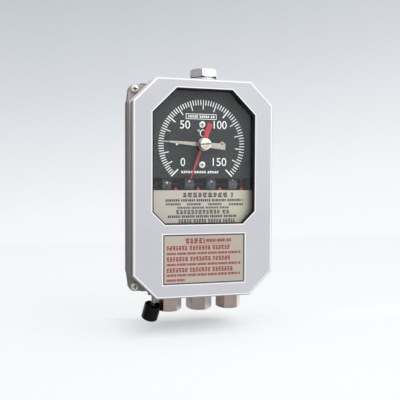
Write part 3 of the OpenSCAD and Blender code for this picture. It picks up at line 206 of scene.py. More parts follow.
# The floor thins out to the backdrop all round the soft shadow: each row is an axis, the span along
# it from the floor's own middle, and the clear share at its two ends.
floor_share = None
for axis, start, end, share_start, share_end in (
    ("Y", -3.069, -3.004, 0.80, 0.30), ("Y", -3.0, -2.962, 0.30, 0.86), ("Y", -2.75, -2.1, 0.0, 1.0),
    ("X", -0.088, -0.025, 0.84, 0.30),
):
    thinned = add_node(
        floor_tree, "ShaderNodeMapRange",
        [("Value", floor_axes.outputs[axis]), ("From Min", start), ("From Max", end),
         ("To Min", share_start), ("To Max", share_end)],
    )
    if floor_share is None:
        floor_share = thinned
    else:
        floor_share = add_node(
            floor_tree, "ShaderNodeMath", [(0, floor_share.outputs[0]), (1, thinned.outputs[0])],
            operation="MAXIMUM",
        )
floor_clear = add_node(floor_tree, "ShaderNodeBsdfTransparent")
floor_mix = add_node(
    floor_tree, "ShaderNodeMixShader",
    [(0, floor_share.outputs[0]), (1, floor_skin.outputs[0]), (2, floor_clear.outputs[0])],
)
floor_tree.links.new(floor_mix.outputs[0], floor_tree.nodes["Material Output"].inputs["Surface"])
floor.data.materials.append(floor_paint)


# Cast housing
# A tapered die casting with a flange and four ears, sprayed in a brown-grey enamel. It is the tub
# that the cover closes, and it hangs on the wall by four bolts from behind.
housing_colour = srgb(92, 86, 84)


def grain_group():
    """Shader group: the fine unevenness of a sprayed, cast or moulded surface, with a broad tone over it."""
    group = bpy.data.node_groups.new("surface_grain", "ShaderNodeTree")
    for name, value in (("Size", 900.0), ("Depth", 0.02), ("Cloud", 12.0)):
        group.interface.new_socket(name, in_out="INPUT", socket_type="NodeSocketFloat").default_value = value
    for name, kind in (("Tone", "Float"), ("Speck", "Float"), ("Normal", "Vector")):
        group.interface.new_socket(name, in_out="OUTPUT", socket_type="NodeSocket" + kind)
    given = add_node(group, "NodeGroupInput")
    place = add_node(group, "ShaderNodeTexCoord")
    fine = add_node(
        group, "ShaderNodeTexNoise",
        [("Vector", place.outputs["Object"]), ("Scale", given.outputs["Size"]), ("Detail", 3.0),
         ("Roughness", 0.6)],
    )
    cloud = add_node(
        group, "ShaderNodeTexNoise",
        [("Vector", place.outputs["Object"]), ("Scale", given.outputs["Cloud"]), ("Detail", 4.0),
         ("Roughness", 0.55)],
    )
    bump = add_node(
        group, "ShaderNodeBump",
        [("Strength", given.outputs["Depth"]), ("Distance", 0.0004), ("Height", fine.outputs["Fac"])],
    )
    add_node(
        group, "NodeGroupOutput",
        [("Tone", cloud.outputs["Fac"]), ("Speck", fine.outputs["Fac"]), ("Normal", bump.outputs["Normal"])],
    )
    return group


surface_grain = grain_group()


def use_group(tree, group, values):
    """A shader group placed in a material, with its own values."""
    node = tree.nodes.new("ShaderNodeGroup")
    node.node_tree = group
    for socket, value in values:
        node.inputs[socket].default_value = value
    return node


def tone_mix(tree, factor, dark, light):
    """The colour between two, by a factor socket."""
    node = add_node(tree, "ShaderNodeMix", [("Factor", factor)], data_type="RGBA")
    colours = [s for s in node.inputs if s.type == "RGBA"]
    for socket, value in zip(colours, (dark, light)):
        if isinstance(value, bpy.types.NodeSocket):
            tree.links.new(value, socket)
        else:
            socket.default_value = value
    return [s for s in node.outputs if s.type == "RGBA"][0]


def shade(colour, share):
    """The colour, darker or lighter by a share."""
    return tuple(min(1.0, c * share) for c in colour[:3]) + (1.0,)


def span(tree, value, low, high, out_low, out_high):
    """A value spread from one span to another."""
    return add_node(
        tree, "ShaderNodeMapRange",
        [("Value", value), ("From Min", low), ("From Max", high), ("To Min", out_low), ("To Max", out_high)],
    ).outputs[0]


def enamel(name, colour, rough, grain=900.0, depth=0.06, coat=0.0, spread=0.10):
    """Sprayed paint: an orange-peel skin with a broad, faint change of tone."""
    material, tree, skin = blank_material(name)
    grained = use_group(tree, surface_grain, [("Size", grain), ("Depth", depth), ("Cloud", 14.0)])
    cloud = span(tree, grained.outputs["Tone"], 0.3, 0.7, 0.0, 1.0)
    tint = tone_mix(tree, cloud, shade(colour, 1 - spread), shade(colour, 1 + spread))
    tree.links.new(tint, skin.inputs["Base Color"])
    roughness = span(tree, grained.outputs["Speck"], 0.3, 0.7, rough - 0.05, rough + 0.05)
    tree.links.new(roughness, skin.inputs["Roughness"])
    tree.links.new(grained.outputs["Normal"], skin.inputs["Normal"])
    skin.inputs["Coat Weight"].default_value = coat
    skin.inputs["Coat Roughness"].default_value = 0.25
    return material


def dress(node, material):
    """Gives a CAD node its finish."""
    slots = cad[node].data.materials
    slots.clear()
    slots.append(material)


def copy_of(node, name):
    """A copy of a CAD node to work on, with its doubles merged and its flat faces in one piece."""
    piece = bpy.data.objects.new(name, cad[node].data.copy())
    scene.collection.objects.link(piece)
    piece.data.materials.clear()
    choose(piece)
    bpy.ops.object.mode_set(mode="EDIT")
    bpy.ops.mesh.select_all(action="SELECT")
    bpy.ops.mesh.remove_doubles(threshold=0.002 * mm)
    bpy.ops.mesh.dissolve_limited(angle_limit=math.radians(0.4))
    bpy.ops.object.mode_set(mode="OBJECT")
    bpy.ops.object.shade_smooth_by_angle(angle=math.radians(30))
    return piece


def break_edges(piece, width, limit=30, segments=2, band=-1):
    """Takes the sharpness off a piece's edges. band is the material slot of the narrow faces this makes."""
    choose(piece)
    rounding = piece.modifiers.new("broken_edges", "BEVEL")
    rounding.width = width
    rounding.segments = segments
    rounding.limit_method = "ANGLE"
    rounding.angle_limit = math.radians(limit)
    rounding.material = band
    rounding.harden_normals = True
    bpy.ops.object.shade_smooth_by_angle(angle=math.radians(limit))
    bpy.ops.object.modifier_apply(modifier=rounding.name)


housing_enamel = enamel("housing_enamel", housing_colour, 0.5, grain=700.0, depth=0.10)
housing = copy_of("base_housing", "housing_casting")
housing.data.materials.append(housing_enamel)
break_edges(housing, 0.5 * mm)
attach(housing, "case")
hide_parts("base_housing")


# Cover
# A flat cast pan in silver-grey enamel, screwed to the housing by its ears. The rims of the window,
# of the notice plate's recess and of the outer edge carry a near-white painted highlight.
cover_colour = srgb(199, 200, 204)
cover_enamel = enamel("cover_enamel", cover_colour, 0.45, grain=1500.0, depth=0.035, spread=0.03)
rim_highlight = enamel("rim_highlight", srgb(253, 253, 254), 0.35, grain=1500.0, depth=0.02, spread=0.02)
edge_black = enamel("edge_black", srgb(14, 14, 16), 0.6, grain=1200.0, depth=0.04, spread=0.15)
cover_low, cover_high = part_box("cover")
front_y = cover_low.y
pane_low, pane_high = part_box("window_glass")
notice_low, notice_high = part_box("notice_plate")


# Painted shadow, for the shaded housing behind the joint, starts at the first distance before the
# joint with the housing and is full at the second. The ledges have none, so their joint lies well behind
# them.
joint_shade_far, joint_shade_near = 7 * mm, 3.5 * mm
joint_behind = cover_high.y + 20 * mm


def shade_painted_sides(name, colour, low_share, top_share, joint_y):
    """Enamel of the sides with painted light: lighter to the top, darker to the floor, and a painted shadow
    towards the joint at joint_y.
    """
    material, tree, skin = blank_material(name)
    place = add_node(tree, "ShaderNodeTexCoord")
    axes = add_node(tree, "ShaderNodeSeparateXYZ", [(0, place.outputs["Object"])])
    height = span(tree, axes.outputs["Z"], cover_low.z, cover_high.z, 0.0, 1.0)
    base = tone_mix(tree, height, shade(colour, low_share), shade(colour, top_share))
    grained = use_group(tree, surface_grain, [("Size", 900.0), ("Depth", 0.06), ("Cloud", 30.0)])
    cloud = span(tree, grained.outputs["Tone"], 0.35, 0.7, 0.0, 0.25)
    clouded = tone_mix(tree, cloud, base, shade(colour, 0.5))
    joint = span(tree, axes.outputs["Y"], joint_y - joint_shade_far, joint_y - joint_shade_near, 0.0, 1.0)
    tree.links.new(tone_mix(tree, joint, clouded, srgb(44, 39, 39)), skin.inputs["Base Color"])
    tree.links.new(span(tree, grained.outputs["Speck"], 0.3, 0.7, 0.5, 0.6), skin.inputs["Roughness"])
    tree.links.new(grained.outputs["Normal"], skin.inputs["Normal"])
    return material


# Painted light: the sides are a darker copy of the cover's enamel as painted shade, the first ledge is near
# white as a painted highlight, and all three grow lighter upwards.
shaded_side_enamel = shade_painted_sides("shaded_side_enamel", srgb(124, 114, 114), 0.60, 1.6, cover_high.y)
highlit_ledge = shade_painted_sides("highlit_ledge", srgb(238, 232, 229), 0.40, 1.1, joint_behind)
ledge_enamel = shade_painted_sides("ledge_enamel", srgb(174, 167, 167), 0.72, 1.15, joint_behind)
cover = copy_of("cover", "cover_casting")
for material in (cover_enamel, rim_highlight, shaded_side_enamel, edge_black, ledge_enamel, highlit_ledge):
    cover.data.materials.append(material)


def inside(point, low, high):
    """Whether a point lies between two corners, across and in height."""
    return low.x < point.x < high.x and low.z < point.z < high.z


def pick_faces(piece, wanted):
    """Opens a piece for editing with only the wanted faces selected."""
    bpy.context.view_layer.objects.active = piece
    bpy.ops.object.mode_set(mode="EDIT")
    bpy.ops.mesh.select_mode(type="FACE")
    bpy.ops.mesh.select_all(action="DESELECT")
    bpy.ops.object.mode_set(mode="OBJECT")
    for face in piece.data.polygons:
        face.select = wanted(face)
    bpy.ops.object.mode_set(mode="EDIT")


# A flat band of painted highlight runs round the window, the recess and the outer edge, and the
# left-facing chamfers carry it too. What the inset leaves selected is the enamel between the bands.
# The walls of the window are black as far back as its seal, the other sides carry painted shade, and
# the cover's step has a ledge in painted highlight before the ledge with the ears.
highlight_band_w, window_wall, ledge_near, ledge_far = 0.95 * mm, 6 * mm, 8 * mm, 20 * mm
front_skin, edge_skin, back_skin = 0.01 * mm, 0.3 * mm, 2 * mm
enamel_slot, highlight_slot, shaded_side_slot, black_slot, ledge_slot, lit_ledge_slot = range(6)
pick_faces(cover, lambda face: face.normal.y < -0.99 and face.center.y - front_y < front_skin)
bpy.ops.mesh.inset(thickness=highlight_band_w, depth=0)
bpy.ops.object.mode_set(mode="OBJECT")
for face in cover.data.polygons:
    depth = face.center.y - front_y
    if abs(face.normal.y) < 0.3 and depth > edge_skin:
        in_window = inside(face.center, pane_low, pane_high) and depth < window_wall
        face.material_index = black_slot if in_window else shaded_side_slot
    elif face.normal.y < -0.3 and depth > ledge_near:
        face.material_index = lit_ledge_slot if depth < ledge_far else ledge_slot
    elif face.normal.y > -0.3 and depth > back_skin:
        face.material_index = shaded_side_slot
    elif face.normal.y < -0.99 and depth < front_skin:
        face.material_index = enamel_slot if face.select else highlight_slot
    elif face.normal.y < -0.3 and face.normal.x < -0.3:
        face.material_index = highlight_slot
break_edges(cover, 0.25 * mm)
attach(cover, "case")
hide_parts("cover")


# Gasket and seals
# Flat black rubber between the cover and the housing, under the fittings and before the glass.
def moulded(name, colour, rough, grain=600.0, depth=0.08, specular=0.5):
    """Rubber or plastic from a mould: one colour with a faint bloom and a fine skin."""
    material, tree, skin = blank_material(name)
    grained = use_group(tree, surface_grain, [("Size", grain), ("Depth", depth), ("Cloud", 40.0)])
    bloom = span(tree, grained.outputs["Tone"], 0.35, 0.75, 0.0, 1.0)
    tree.links.new(tone_mix(tree, bloom, colour, shade(colour, 1.5)), skin.inputs["Base Color"])
    roughness = span(tree, grained.outputs["Speck"], 0.3, 0.7, rough - 0.06, rough + 0.06)
    tree.links.new(roughness, skin.inputs["Roughness"])
    tree.links.new(grained.outputs["Normal"], skin.inputs["Normal"])
    skin.inputs["Specular IOR Level"].default_value = specular
    return material


black_rubber = moulded("black_rubber", srgb(34, 34, 36), 0.62)
for node in ("cover_gasket", "sealing_washers", "gland_seals"):
    dress(node, black_rubber)
# The window's seal has a soft lip that comes forward inside the band of painted highlight and shows as a
# black line.
# It is cut from the seal's own shape: its outer wall goes in past the glass's lap and a hair of air, its
# inner wall into the opening, and its front to just behind the cover's face.
lip_air, lip_show, lip_set = 0.05 * mm, 1.25 * mm, 0.4 * mm
seal_rubber = moulded("seal_rubber", srgb(10, 10, 11), 0.7)
seal = copy_of("window_seal", "lipped_window_seal")
lip = copy_of("window_seal", "window_seal_lip")
seal_low, seal_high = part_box("window_seal")
seal_middle = (seal_low + seal_high) / 2
opening_left = min(face.center.x for face in lip.data.polygons if face.normal.x > 0.9)
glass_lap = opening_left - seal_low.x
for facing, push in ((1, -lip_air - glass_lap), (-1, lip_show)):
    pick_faces(
        lip,
        lambda face: abs(face.normal.y) < 0.3 and facing * face.normal.dot(face.center - seal_middle) > 0,
    )
    bpy.ops.transform.shrink_fatten(value=push, use_even_offset=True)
    bpy.ops.object.mode_set(mode="OBJECT")
pick_faces(lip, lambda face: face.normal.y < -0.9)
bpy.ops.transform.translate(value=(0, front_y + lip_set - seal_low.y, 0))
bpy.ops.object.mode_set(mode="OBJECT")
choose(seal, lip)
bpy.ops.object.join()
seal.data.materials.clear()
seal.data.materials.append(seal_rubber)
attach(seal, "case")
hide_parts("window_seal")


# Screws
# Nickel-plated crosshead screws hold the cover and the plates. Their crosses are painted dark as painted
# shade.
def rub_group():
    """Shader group: the fine scratches and stains of plated or bare metal."""
    group = bpy.data.node_groups.new("rubbed_metal", "ShaderNodeTree")
    for name, value in (("Size", 260.0), ("Stretch", 6.0), ("Depth", 0.05)):
        group.interface.new_socket(name, in_out="INPUT", socket_type="NodeSocketFloat").default_value = value
    for name, kind in (("Stain", "Float"), ("Scratch", "Float"), ("Normal", "Vector")):
        group.interface.new_socket(name, in_out="OUTPUT", socket_type="NodeSocket" + kind)
    given = add_node(group, "NodeGroupInput")
    place = add_node(group, "ShaderNodeTexCoord")
    across = add_node(
        group, "ShaderNodeCombineXYZ", [("X", 1.0), ("Y", 1.0), ("Z", given.outputs["Stretch"])],
    )
    drawn = add_node(
        group, "ShaderNodeVectorMath", [(0, place.outputs["Object"]), (1, across.outputs[0])],
        operation="MULTIPLY",
    )
    scratch = add_node(
        group, "ShaderNodeTexNoise",
        [("Vector", drawn.outputs[0]), ("Scale", given.outputs["Size"]), ("Detail", 5.0),
         ("Roughness", 0.7)],
    )
    stain = add_node(
        group, "ShaderNodeTexNoise",
        [("Vector", place.outputs["Object"]), ("Scale", 90.0), ("Detail", 5.0), ("Roughness", 0.6)],
    )
    bump = add_node(
        group, "ShaderNodeBump",
        [("Strength", given.outputs["Depth"]), ("Distance", 0.0002), ("Height", scratch.outputs["Fac"])],
    )
    add_node(
        group, "NodeGroupOutput",
        [("Stain", stain.outputs["Fac"]), ("Scratch", scratch.outputs["Fac"]),
         ("Normal", bump.outputs["Normal"])],
    )
    return group


rubbed_metal = rub_group()


def plated(name, colour, rough, stain=0.25, depth=0.05, metallic=1.0):
    """Bare or plated metal with stains and fine scratches. A worn or dusty finish is less metallic."""
    material, tree, skin = blank_material(name)
    rubbed = use_group(tree, rubbed_metal, [("Depth", depth)])
    spots = span(tree, rubbed.outputs["Stain"], 0.4, 0.75, 0.0, 1.0)
    tree.links.new(tone_mix(tree, spots, colour, shade(colour, 1 - stain)), skin.inputs["Base Color"])
    roughness = span(tree, rubbed.outputs["Scratch"], 0.3, 0.7, rough - 0.05, rough + 0.08)
    tree.links.new(roughness, skin.inputs["Roughness"])
    tree.links.new(rubbed.outputs["Normal"], skin.inputs["Normal"])
    skin.inputs["Metallic"].default_value = metallic
    return material


screw_nickel = plated("screw_nickel", srgb(246, 242, 232), 0.34, stain=0.12, metallic=0.55)
recess_shade = moulded("recess_shade", srgb(34, 27, 22), 0.7)
zinc_steel = plated("zinc_steel", srgb(196, 198, 202), 0.34)
# Each screw's axis is found from the points round it. Its cross is made of the faces near the axis that
# lie below the top of the head: its walls, and its floor, which is the deeper.
axis_gap, screw_reach, cross_reach = 3, 2.1, 0.62  # in radii of the head
cross_top, cross_floor, cross_end = 0.1, 0.4, 0.7  # in thicknesses of the head
for node, head_r, head_t in (("cover_screws", 4.2 * mm, 3.0 * mm), ("plate_screws", 3.3 * mm, 1.2 * mm)):
    screws = copy_of(node, "crosshead_" + node)
    screws.data.materials.append(screw_nickel)
    screws.data.materials.append(recess_shade)
    points = [v.co.copy() for v in screws.data.vertices]
    axes_found = []
    for point in points:
        if all((point - middle).xz.length > axis_gap * head_r for middle, front in axes_found):
            own = [q for q in points if (q - point).xz.length < screw_reach * head_r]
            middle = sum(own, Vector()) / len(own)
            own_x = [q.x for q in own]
            own_z = [q.z for q in own]
            middle.x = (min(own_x) + max(own_x)) / 2
            middle.z = (min(own_z) + max(own_z)) / 2
            axes_found.append((middle, min(q.y for q in own)))
    for face in screws.data.polygons:
        middle, front = min(axes_found, key=lambda found: (face.center - found[0]).xz.length)
        sunk = (face.center.y - front) / head_t
        near_axis = (face.center - middle).xz.length < cross_reach * head_r
        is_wall = abs(face.normal.y) < 0.3
        if near_axis and cross_top < sunk < cross_end and (is_wall or sunk > cross_floor):
            face.material_index = 1
    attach(screws, "case")
    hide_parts(node)


# Window glass
# A flat pane clamped from inside, so that the dial shows through with a faint reflection of the room.
# Lamps light the dial through it.
pane, pane_tree, pane_skin = blank_material("window_pane")
pane_skin.inputs["Roughness"].default_value = 0.0
pane_skin.inputs["Transmission Weight"].default_value = 1.0
pane_skin.inputs["IOR"].default_value = 1.38
film = use_group(pane_tree, surface_grain, [("Cloud", 18.0)])
pane_tint = tone_mix(pane_tree, film.outputs["Tone"], srgb(243, 246, 246), srgb(250, 252, 252))
pane_tree.links.new(pane_tint, pane_skin.inputs["Base Color"])
pane_path = add_node(pane_tree, "ShaderNodeLightPath")
pane_clear = add_node(pane_tree, "ShaderNodeBsdfTransparent", [("Color", (0.95, 0.96, 0.96, 1.0))])
pane_mix = add_node(
    pane_tree, "ShaderNodeMixShader",
    [(0, pane_path.outputs["Is Shadow Ray"]), (1, pane_skin.outputs[0]), (2, pane_clear.outputs[0])],
)
pane_tree.links.new(pane_mix.outputs[0], pane_tree.nodes["Material Output"].inputs["Surface"])
dress("window_glass", pane)
matt_black = enamel("matt_black", srgb(42, 44, 46), 0.6, grain=1200.0, depth=0.05, spread=0.2)
# The glass frame is painted far lighter than the dial's charcoal, so that its walls in shade show as grey as
# the dial: painted light.
frame_charcoal_lit = enamel("frame_charcoal_lit", srgb(112, 115, 117), 0.6, grain=1200.0, depth=0.05, spread=0.12)
dress("glass_frame", frame_charcoal_lit)
dress("glass_frame_screws", zinc_steel)


# Notice plate
# A beige printed foil in the cover's recess, with a thin dark red border and plain red ruled rows.
# Each row is a run of small blocks of ink that stand a hair proud of the foil. No letters are drawn.
ink_height = 0.06 * mm


def foil(name, colour, far_colour, low_x, high_x):
    """Printed metal foil: satin, and a little darker or greener from one end to the other."""
    material, tree, skin = blank_material(name)
    place = add_node(tree, "ShaderNodeTexCoord")
    along = add_node(tree, "ShaderNodeSeparateXYZ", [(0, place.outputs["Object"])])
    fade = span(tree, along.outputs["X"], low_x, high_x, 0.0, 1.0)
    grained = use_group(tree, surface_grain, [("Size", 1600.0), ("Depth", 0.03), ("Cloud", 22.0)])
    base = tone_mix(tree, fade, colour, far_colour)
    cloud = span(tree, grained.outputs["Tone"], 0.35, 0.7, 0.0, 0.35)
    dark = tone_mix(tree, cloud, base, shade(far_colour, 0.8))
    tree.links.new(dark, skin.inputs["Base Color"])
    tree.links.new(span(tree, grained.outputs["Speck"], 0.3, 0.7, 0.34, 0.46), skin.inputs["Roughness"])
    tree.links.new(grained.outputs["Normal"], skin.inputs["Normal"])
    skin.inputs["Metallic"].default_value = 0.35
    return material


def ink(name, colour):
    """Printing ink, thick enough to have a slight gloss and a slightly uneven cover."""
    material, tree, skin = blank_material(name)
    grained = use_group(tree, surface_grain, [("Size", 2600.0), ("Depth", 0.05), ("Cloud", 300.0)])
    cover_share = span(tree, grained.outputs["Tone"], 0.4, 0.75, 0.0, 1.0)
    tree.links.new(tone_mix(tree, cover_share, colour, shade(colour, 1.35)), skin.inputs["Base Color"])
    tree.links.new(span(tree, grained.outputs["Speck"], 0.3, 0.7, 0.4, 0.55), skin.inputs["Roughness"])
    return material


def printed_bar(x, z, width, height, face_y):
    """One rectangle of ink, from its middle, on a plate whose face is at face_y."""
    bpy.ops.object.select_all(action="DESELECT")
    bpy.ops.mesh.primitive_cube_add(size=1, location=(x, face_y - ink_height / 2, z))
    bar = bpy.context.object
    bar.scale = (width, ink_height, height)
    bpy.ops.object.transform_apply(location=True, rotation=True, scale=True)
    return bar


def join_pieces(parts, name, material, body="case"):
    """Makes one piece of several, gives it its finish and lets it ride."""
    piece = parts[0]
    choose(*parts)
    if len(parts) > 1:
        bpy.ops.object.join()
    bpy.ops.object.transform_apply(location=True, rotation=True, scale=True)
    piece.name = name
    piece.data.materials.clear()
    piece.data.materials.append(material)
    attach(piece, body)
    return piece


def ruled_row(x0, x1, z, height, face_y, block, run, seed, strokes):
    """A row of ruled blocks from x0 to x1 with a wider space after each run of them.

    A block is one stroke or a few above each other. The blocks' widths and the strokes' lengths and
    places vary by sines that begin at seed.
    """
    block_least, block_more = 0.78, 0.22
    stroke_least, stroke_more = 0.72, 0.28
    space, wide_space = 0.22, 0.8
    inked = 0.85 if strokes == 1 else 0.76
    parts = []
    x = x0
    count = 0
    pitch = height / strokes
    while x < x1 - 0.3 * block:
        width = min(block * (block_least + block_more * math.sin(seed + 2.1 * count) ** 2), x1 - x)
        for k in range(strokes):
            wave = math.cos(seed * 1.7 + 1.3 * count + 2.3 * k) ** 2
            long = width * (stroke_least + stroke_more * wave)
            shift = (width - long) * (0.5 if strokes == 1 else math.sin(seed + count + 1.9 * k) ** 2)
            at_z = z + (k - (strokes - 1) / 2) * pitch
            parts.append(printed_bar(x + shift + long / 2, at_z, long, pitch * inked, face_y))
        count += 1
        x += width + block * (wide_space if count % run == 0 else space)
    return parts


notice_foil = foil("notice_foil", srgb(196, 186, 173), srgb(188, 178, 165), notice_low.x, notice_high.x)
red_ink = ink("red_ink", srgb(140, 8, 22))
border_ink = ink("border_ink", srgb(66, 44, 40))
dress("notice_plate", notice_foil)
border = 0.85 * mm
notice_mid_x = (notice_low.x + notice_high.x) / 2
notice_mid_z = (notice_low.z + notice_high.z) / 2
notice_w, notice_h = notice_high.x - notice_low.x, notice_high.z - notice_low.z
edge_in = 0.55 * mm
border_parts = []
for side in (-1, 1):
    edge_z = notice_mid_z + side * (notice_h / 2 - edge_in)
    edge_x = notice_mid_x + side * (notice_w / 2 - edge_in)
    border_parts.append(printed_bar(notice_mid_x, edge_z, notice_w - 2 * edge_in, border, notice_low.y))
    border_parts.append(printed_bar(edge_x, notice_mid_z, border, notice_h - 2 * edge_in, notice_low.y))
join_pieces(border_parts, "notice_border", border_ink)
red_parts = []
# Each row, in mm: left end and right end from the plate's left edge, depth of its middle below the
# top edge, height of the blocks, block width, and then blocks in a run and strokes in a block
notice_rows = (
    (23.0, 43.5, 6.2, 5.4, 4.2, 5, 3),
    (45.0, 72.0, 6.2, 3.8, 1.5, 6, 1),
    (3.2, 70.0, 13.4, 4.8, 2.9, 7, 3),
    (3.2, 82.0, 19.0, 2.9, 1.3, 7, 1),
    (3.2, 72.0, 24.6, 4.8, 2.9, 7, 3),
    (3.2, 82.0, 30.2, 2.9, 1.3, 7, 1),
    (3.2, 75.0, 35.8, 4.8, 2.9, 7, 3),
    (3.2, 82.0, 41.0, 2.9, 1.3, 7, 1),
    (3.2, 22.0, 46.0, 2.9, 1.3, 7, 1),
)
for i, (x0, x1, down, tall, block, run, strokes) in enumerate(notice_rows):
    red_parts += ruled_row(
        notice_low.x + x0 * mm, notice_low.x + x1 * mm, notice_high.z - down * mm, tall * mm,
        notice_low.y, block * mm, run, i + 1.0, strokes,
    )
# A thin line runs under the first two rows.
line_right, line_down, line_w, line_h = 46.5 * mm, 9.4 * mm, 49 * mm, 0.25 * mm
red_parts.append(
    printed_bar(notice_low.x + line_right, notice_high.z - line_down, line_w, line_h, notice_low.y)
)
join_pieces(red_parts, "notice_ruling", red_ink)


# Vent plug
# A hex plug turned in one piece and chromed, on a round collar above the case.
# Its head's underside is painted dark as painted shade.
chrome = plated("chrome", srgb(247, 245, 243), 0.24, stain=0.12, depth=0.02, metallic=0.4)
plug = copy_of("vent_plug", "chrome_vent_plug")
plug.data.materials.append(chrome)
plug.data.materials.append(recess_shade)
for face in plug.data.polygons:
    if face.normal.z < -0.2:
        face.material_index = 1
break_edges(plug, 0.3 * mm)
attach(plug, "case")
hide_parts("vent_plug")


# Cable glands
# Nickel-plated brass: body, cap nut and locknut for each of the three cables, satin from tumbling. The
# cap nuts' right flats are painted near white as a painted highlight.
gland_nickel = plated("gland_nickel", srgb(176, 161, 152), 0.30, stain=0.18, depth=0.08)
flat_highlight = plated("flat_highlight", srgb(252, 250, 247), 0.30, stain=0.08, depth=0.04, metallic=0.3)
nuts = copy_of("gland_nuts", "gland_cap_nuts")
nuts.data.materials.append(gland_nickel)
nuts.data.materials.append(flat_highlight)
least_flat = 20 * mm * mm
for face in nuts.data.polygons:
    if face.normal.x > 0.3 and abs(face.normal.z) < 0.3 and face.area > least_flat:
        face.material_index = 1
break_edges(nuts, 0.3 * mm)
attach(nuts, "case")
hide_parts("gland_nuts")
for node in ("gland_bodies", "gland_locknuts", "capillary_bush"):
    dress(node, gland_nickel)
dress("bush_locknut", zinc_steel)


# Capillary stub and its sleeve
# Wound steel armour goes into a smooth black rubber sleeve that hangs below the case's left corner.
armour_steel = plated("armour_steel", srgb(176, 174, 168), 0.32, stain=0.35, depth=0.1)
dress("capillary_stem", armour_steel)
sleeve_rubber = moulded("sleeve_rubber", srgb(7, 6, 13), 0.30, grain=500.0, depth=0.04, specular=0.22)
dress("end_sleeve", sleeve_rubber)


# Works behind the dial
# The bellows, rod, gears and plates that the capillary drives. They show only when the cover is off.
yellow_brass = plated("yellow_brass", srgb(206, 172, 104), 0.28)
tube_copper = plated("tube_copper", srgb(196, 128, 92), 0.30)
for node in ("bellows_bracket", "push_rod", "switch_bar", "chassis_posts", "sector_arbor", "pointer_arbor"):
    dress(node, zinc_steel)
for node in ("bellows_base", "bellows_cap", "front_plate", "plate_pillars", "sector_gear", "crank_arm"):
    dress(node, yellow_brass)
# The bellows stands on its base and is soldered to the cap on the rod, so it stretches between the two.
bellows = copy_of("bellows", "stretching_bellows")
bpy.ops.object.shade_smooth_by_angle(angle=math.radians(75))
bellows.data.materials.append(yellow_brass)
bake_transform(bellows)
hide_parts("bellows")
dress("inner_capillary", tube_copper)
dress("chassis_plate", matt_black)
dress("plate_posts", zinc_steel)


# Dial plate
# Charcoal enamel with white printed marks, numbers and degree sign. The marks stand a hair proud,
# and the white starts at half their height.
dial_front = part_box("dial_plate")[0].y
mark_height = 0.12 * mm
dial_face_y = dial_front + mark_height
dial_colour = srgb(39, 41, 42)
white_paint = srgb(250, 251, 248)
dial_enamel, dial_tree, dial_skin = blank_material("dial_enamel")
dial_place = add_node(dial_tree, "ShaderNodeTexCoord")
dial_axes = add_node(dial_tree, "ShaderNodeSeparateXYZ", [(0, dial_place.outputs["Object"])])
on_mark = add_node(
    dial_tree, "ShaderNodeMath", [(0, dial_axes.outputs["Y"]), (1, dial_face_y - mark_height / 2)],
    operation="LESS_THAN",
)
dial_grain = use_group(dial_tree, surface_grain, [("Size", 1400.0), ("Depth", 0.003), ("Cloud", 26.0)])
dial_cloud = span(dial_tree, dial_grain.outputs["Tone"], 0.35, 0.7, 0.0, 1.0)
dial_base = tone_mix(dial_tree, dial_cloud, shade(dial_colour, 0.9), shade(dial_colour, 1.12))
dial_tone = tone_mix(dial_tree, on_mark.outputs[0], dial_base, white_paint)
dial_tree.links.new(dial_tone, dial_skin.inputs["Base Color"])
dial_roughness = span(dial_tree, dial_grain.outputs["Speck"], 0.3, 0.7, 0.50, 0.54)
dial_tree.links.new(dial_roughness, dial_skin.inputs["Roughness"])
dial_skin.inputs["Specular IOR Level"].default_value = 0.25
dial_tree.links.new(dial_grain.outputs["Normal"], dial_skin.inputs["Normal"])
dress("dial_plate", dial_enamel)
white_ink = ink("white_ink", white_paint)
# Each number or sign, in mm: its middle across and in height, its width and its height
number_places = (
    ("50", -18.3, 65.7, 10.6, 8.4), ("100", 19.5, 66.3, 14.2, 8.3), ("0", -20.5, 27.2, 4.7, 8.3),
    ("150", 19.0, 27.7, 14.8, 8.4), ("C", 0.3, 57.2, 5.5, 7.7), ("°", -3.6, 59.8, 2.3, 2.3),
)


def printed_text(body, x, z, width, height, face_y):
    """Generic lettering as flat ink of a set width and height, made a mesh before it takes its place."""
    bpy.ops.object.select_all(action="DESELECT")
    bpy.ops.object.text_add()
    text = bpy.context.object
    text.data.body = body
    text.data.size = 12 * mm  # any size will do, because the scale below sets it
    text.data.extrude = ink_height / 2
    bpy.ops.object.convert(target="MESH")
    low = [min(v.co[k] for v in text.data.vertices) for k in range(3)]
    high = [max(v.co[k] for v in text.data.vertices) for k in range(3)]
    middle = Vector([(a + b) / 2 for a, b in zip(low, high)])
    text.data.transform(Matrix.Translation(-middle))
    text.scale = (width / (high[0] - low[0]), height / (high[1] - low[1]), 1)
    text.rotation_euler = (math.radians(90), 0, 0)
    text.location = (x, face_y - ink_height / 2, z)
    bpy.ops.object.transform_apply(location=True, rotation=True, scale=True)
    return text


number_parts = [
    printed_text(body, x * mm, z * mm, width * mm, height * mm, dial_face_y)
    for body, x, z, width, height in number_places
]
# A thin frame with a ruled row in it stands over the numbers, and a longer row under them.
frame_w, frame_h, frame_x, frame_z, frame_line = 32.4 * mm, 5.0 * mm, -1.0 * mm, 74.3 * mm, 0.6 * mm
for side in (-1, 1):
    number_parts.append(
        printed_bar(frame_x, frame_z + side * frame_h / 2, frame_w + frame_line, frame_line, dial_face_y)
    )
    number_parts.append(
        printed_bar(frame_x + side * frame_w / 2, frame_z, frame_line, frame_h, dial_face_y)
    )
number_parts += ruled_row(-15.2 * mm, 13.2 * mm, frame_z, 2.6 * mm, dial_face_y, 2.0 * mm, 5, 3.0, 2)
number_parts += ruled_row(-22.5 * mm, 18.5 * mm, 17.0 * mm, 2.6 * mm, dial_face_y, 2.3 * mm, 5, 5.0, 2)
join_pieces(number_parts, "dial_numbers", white_ink)


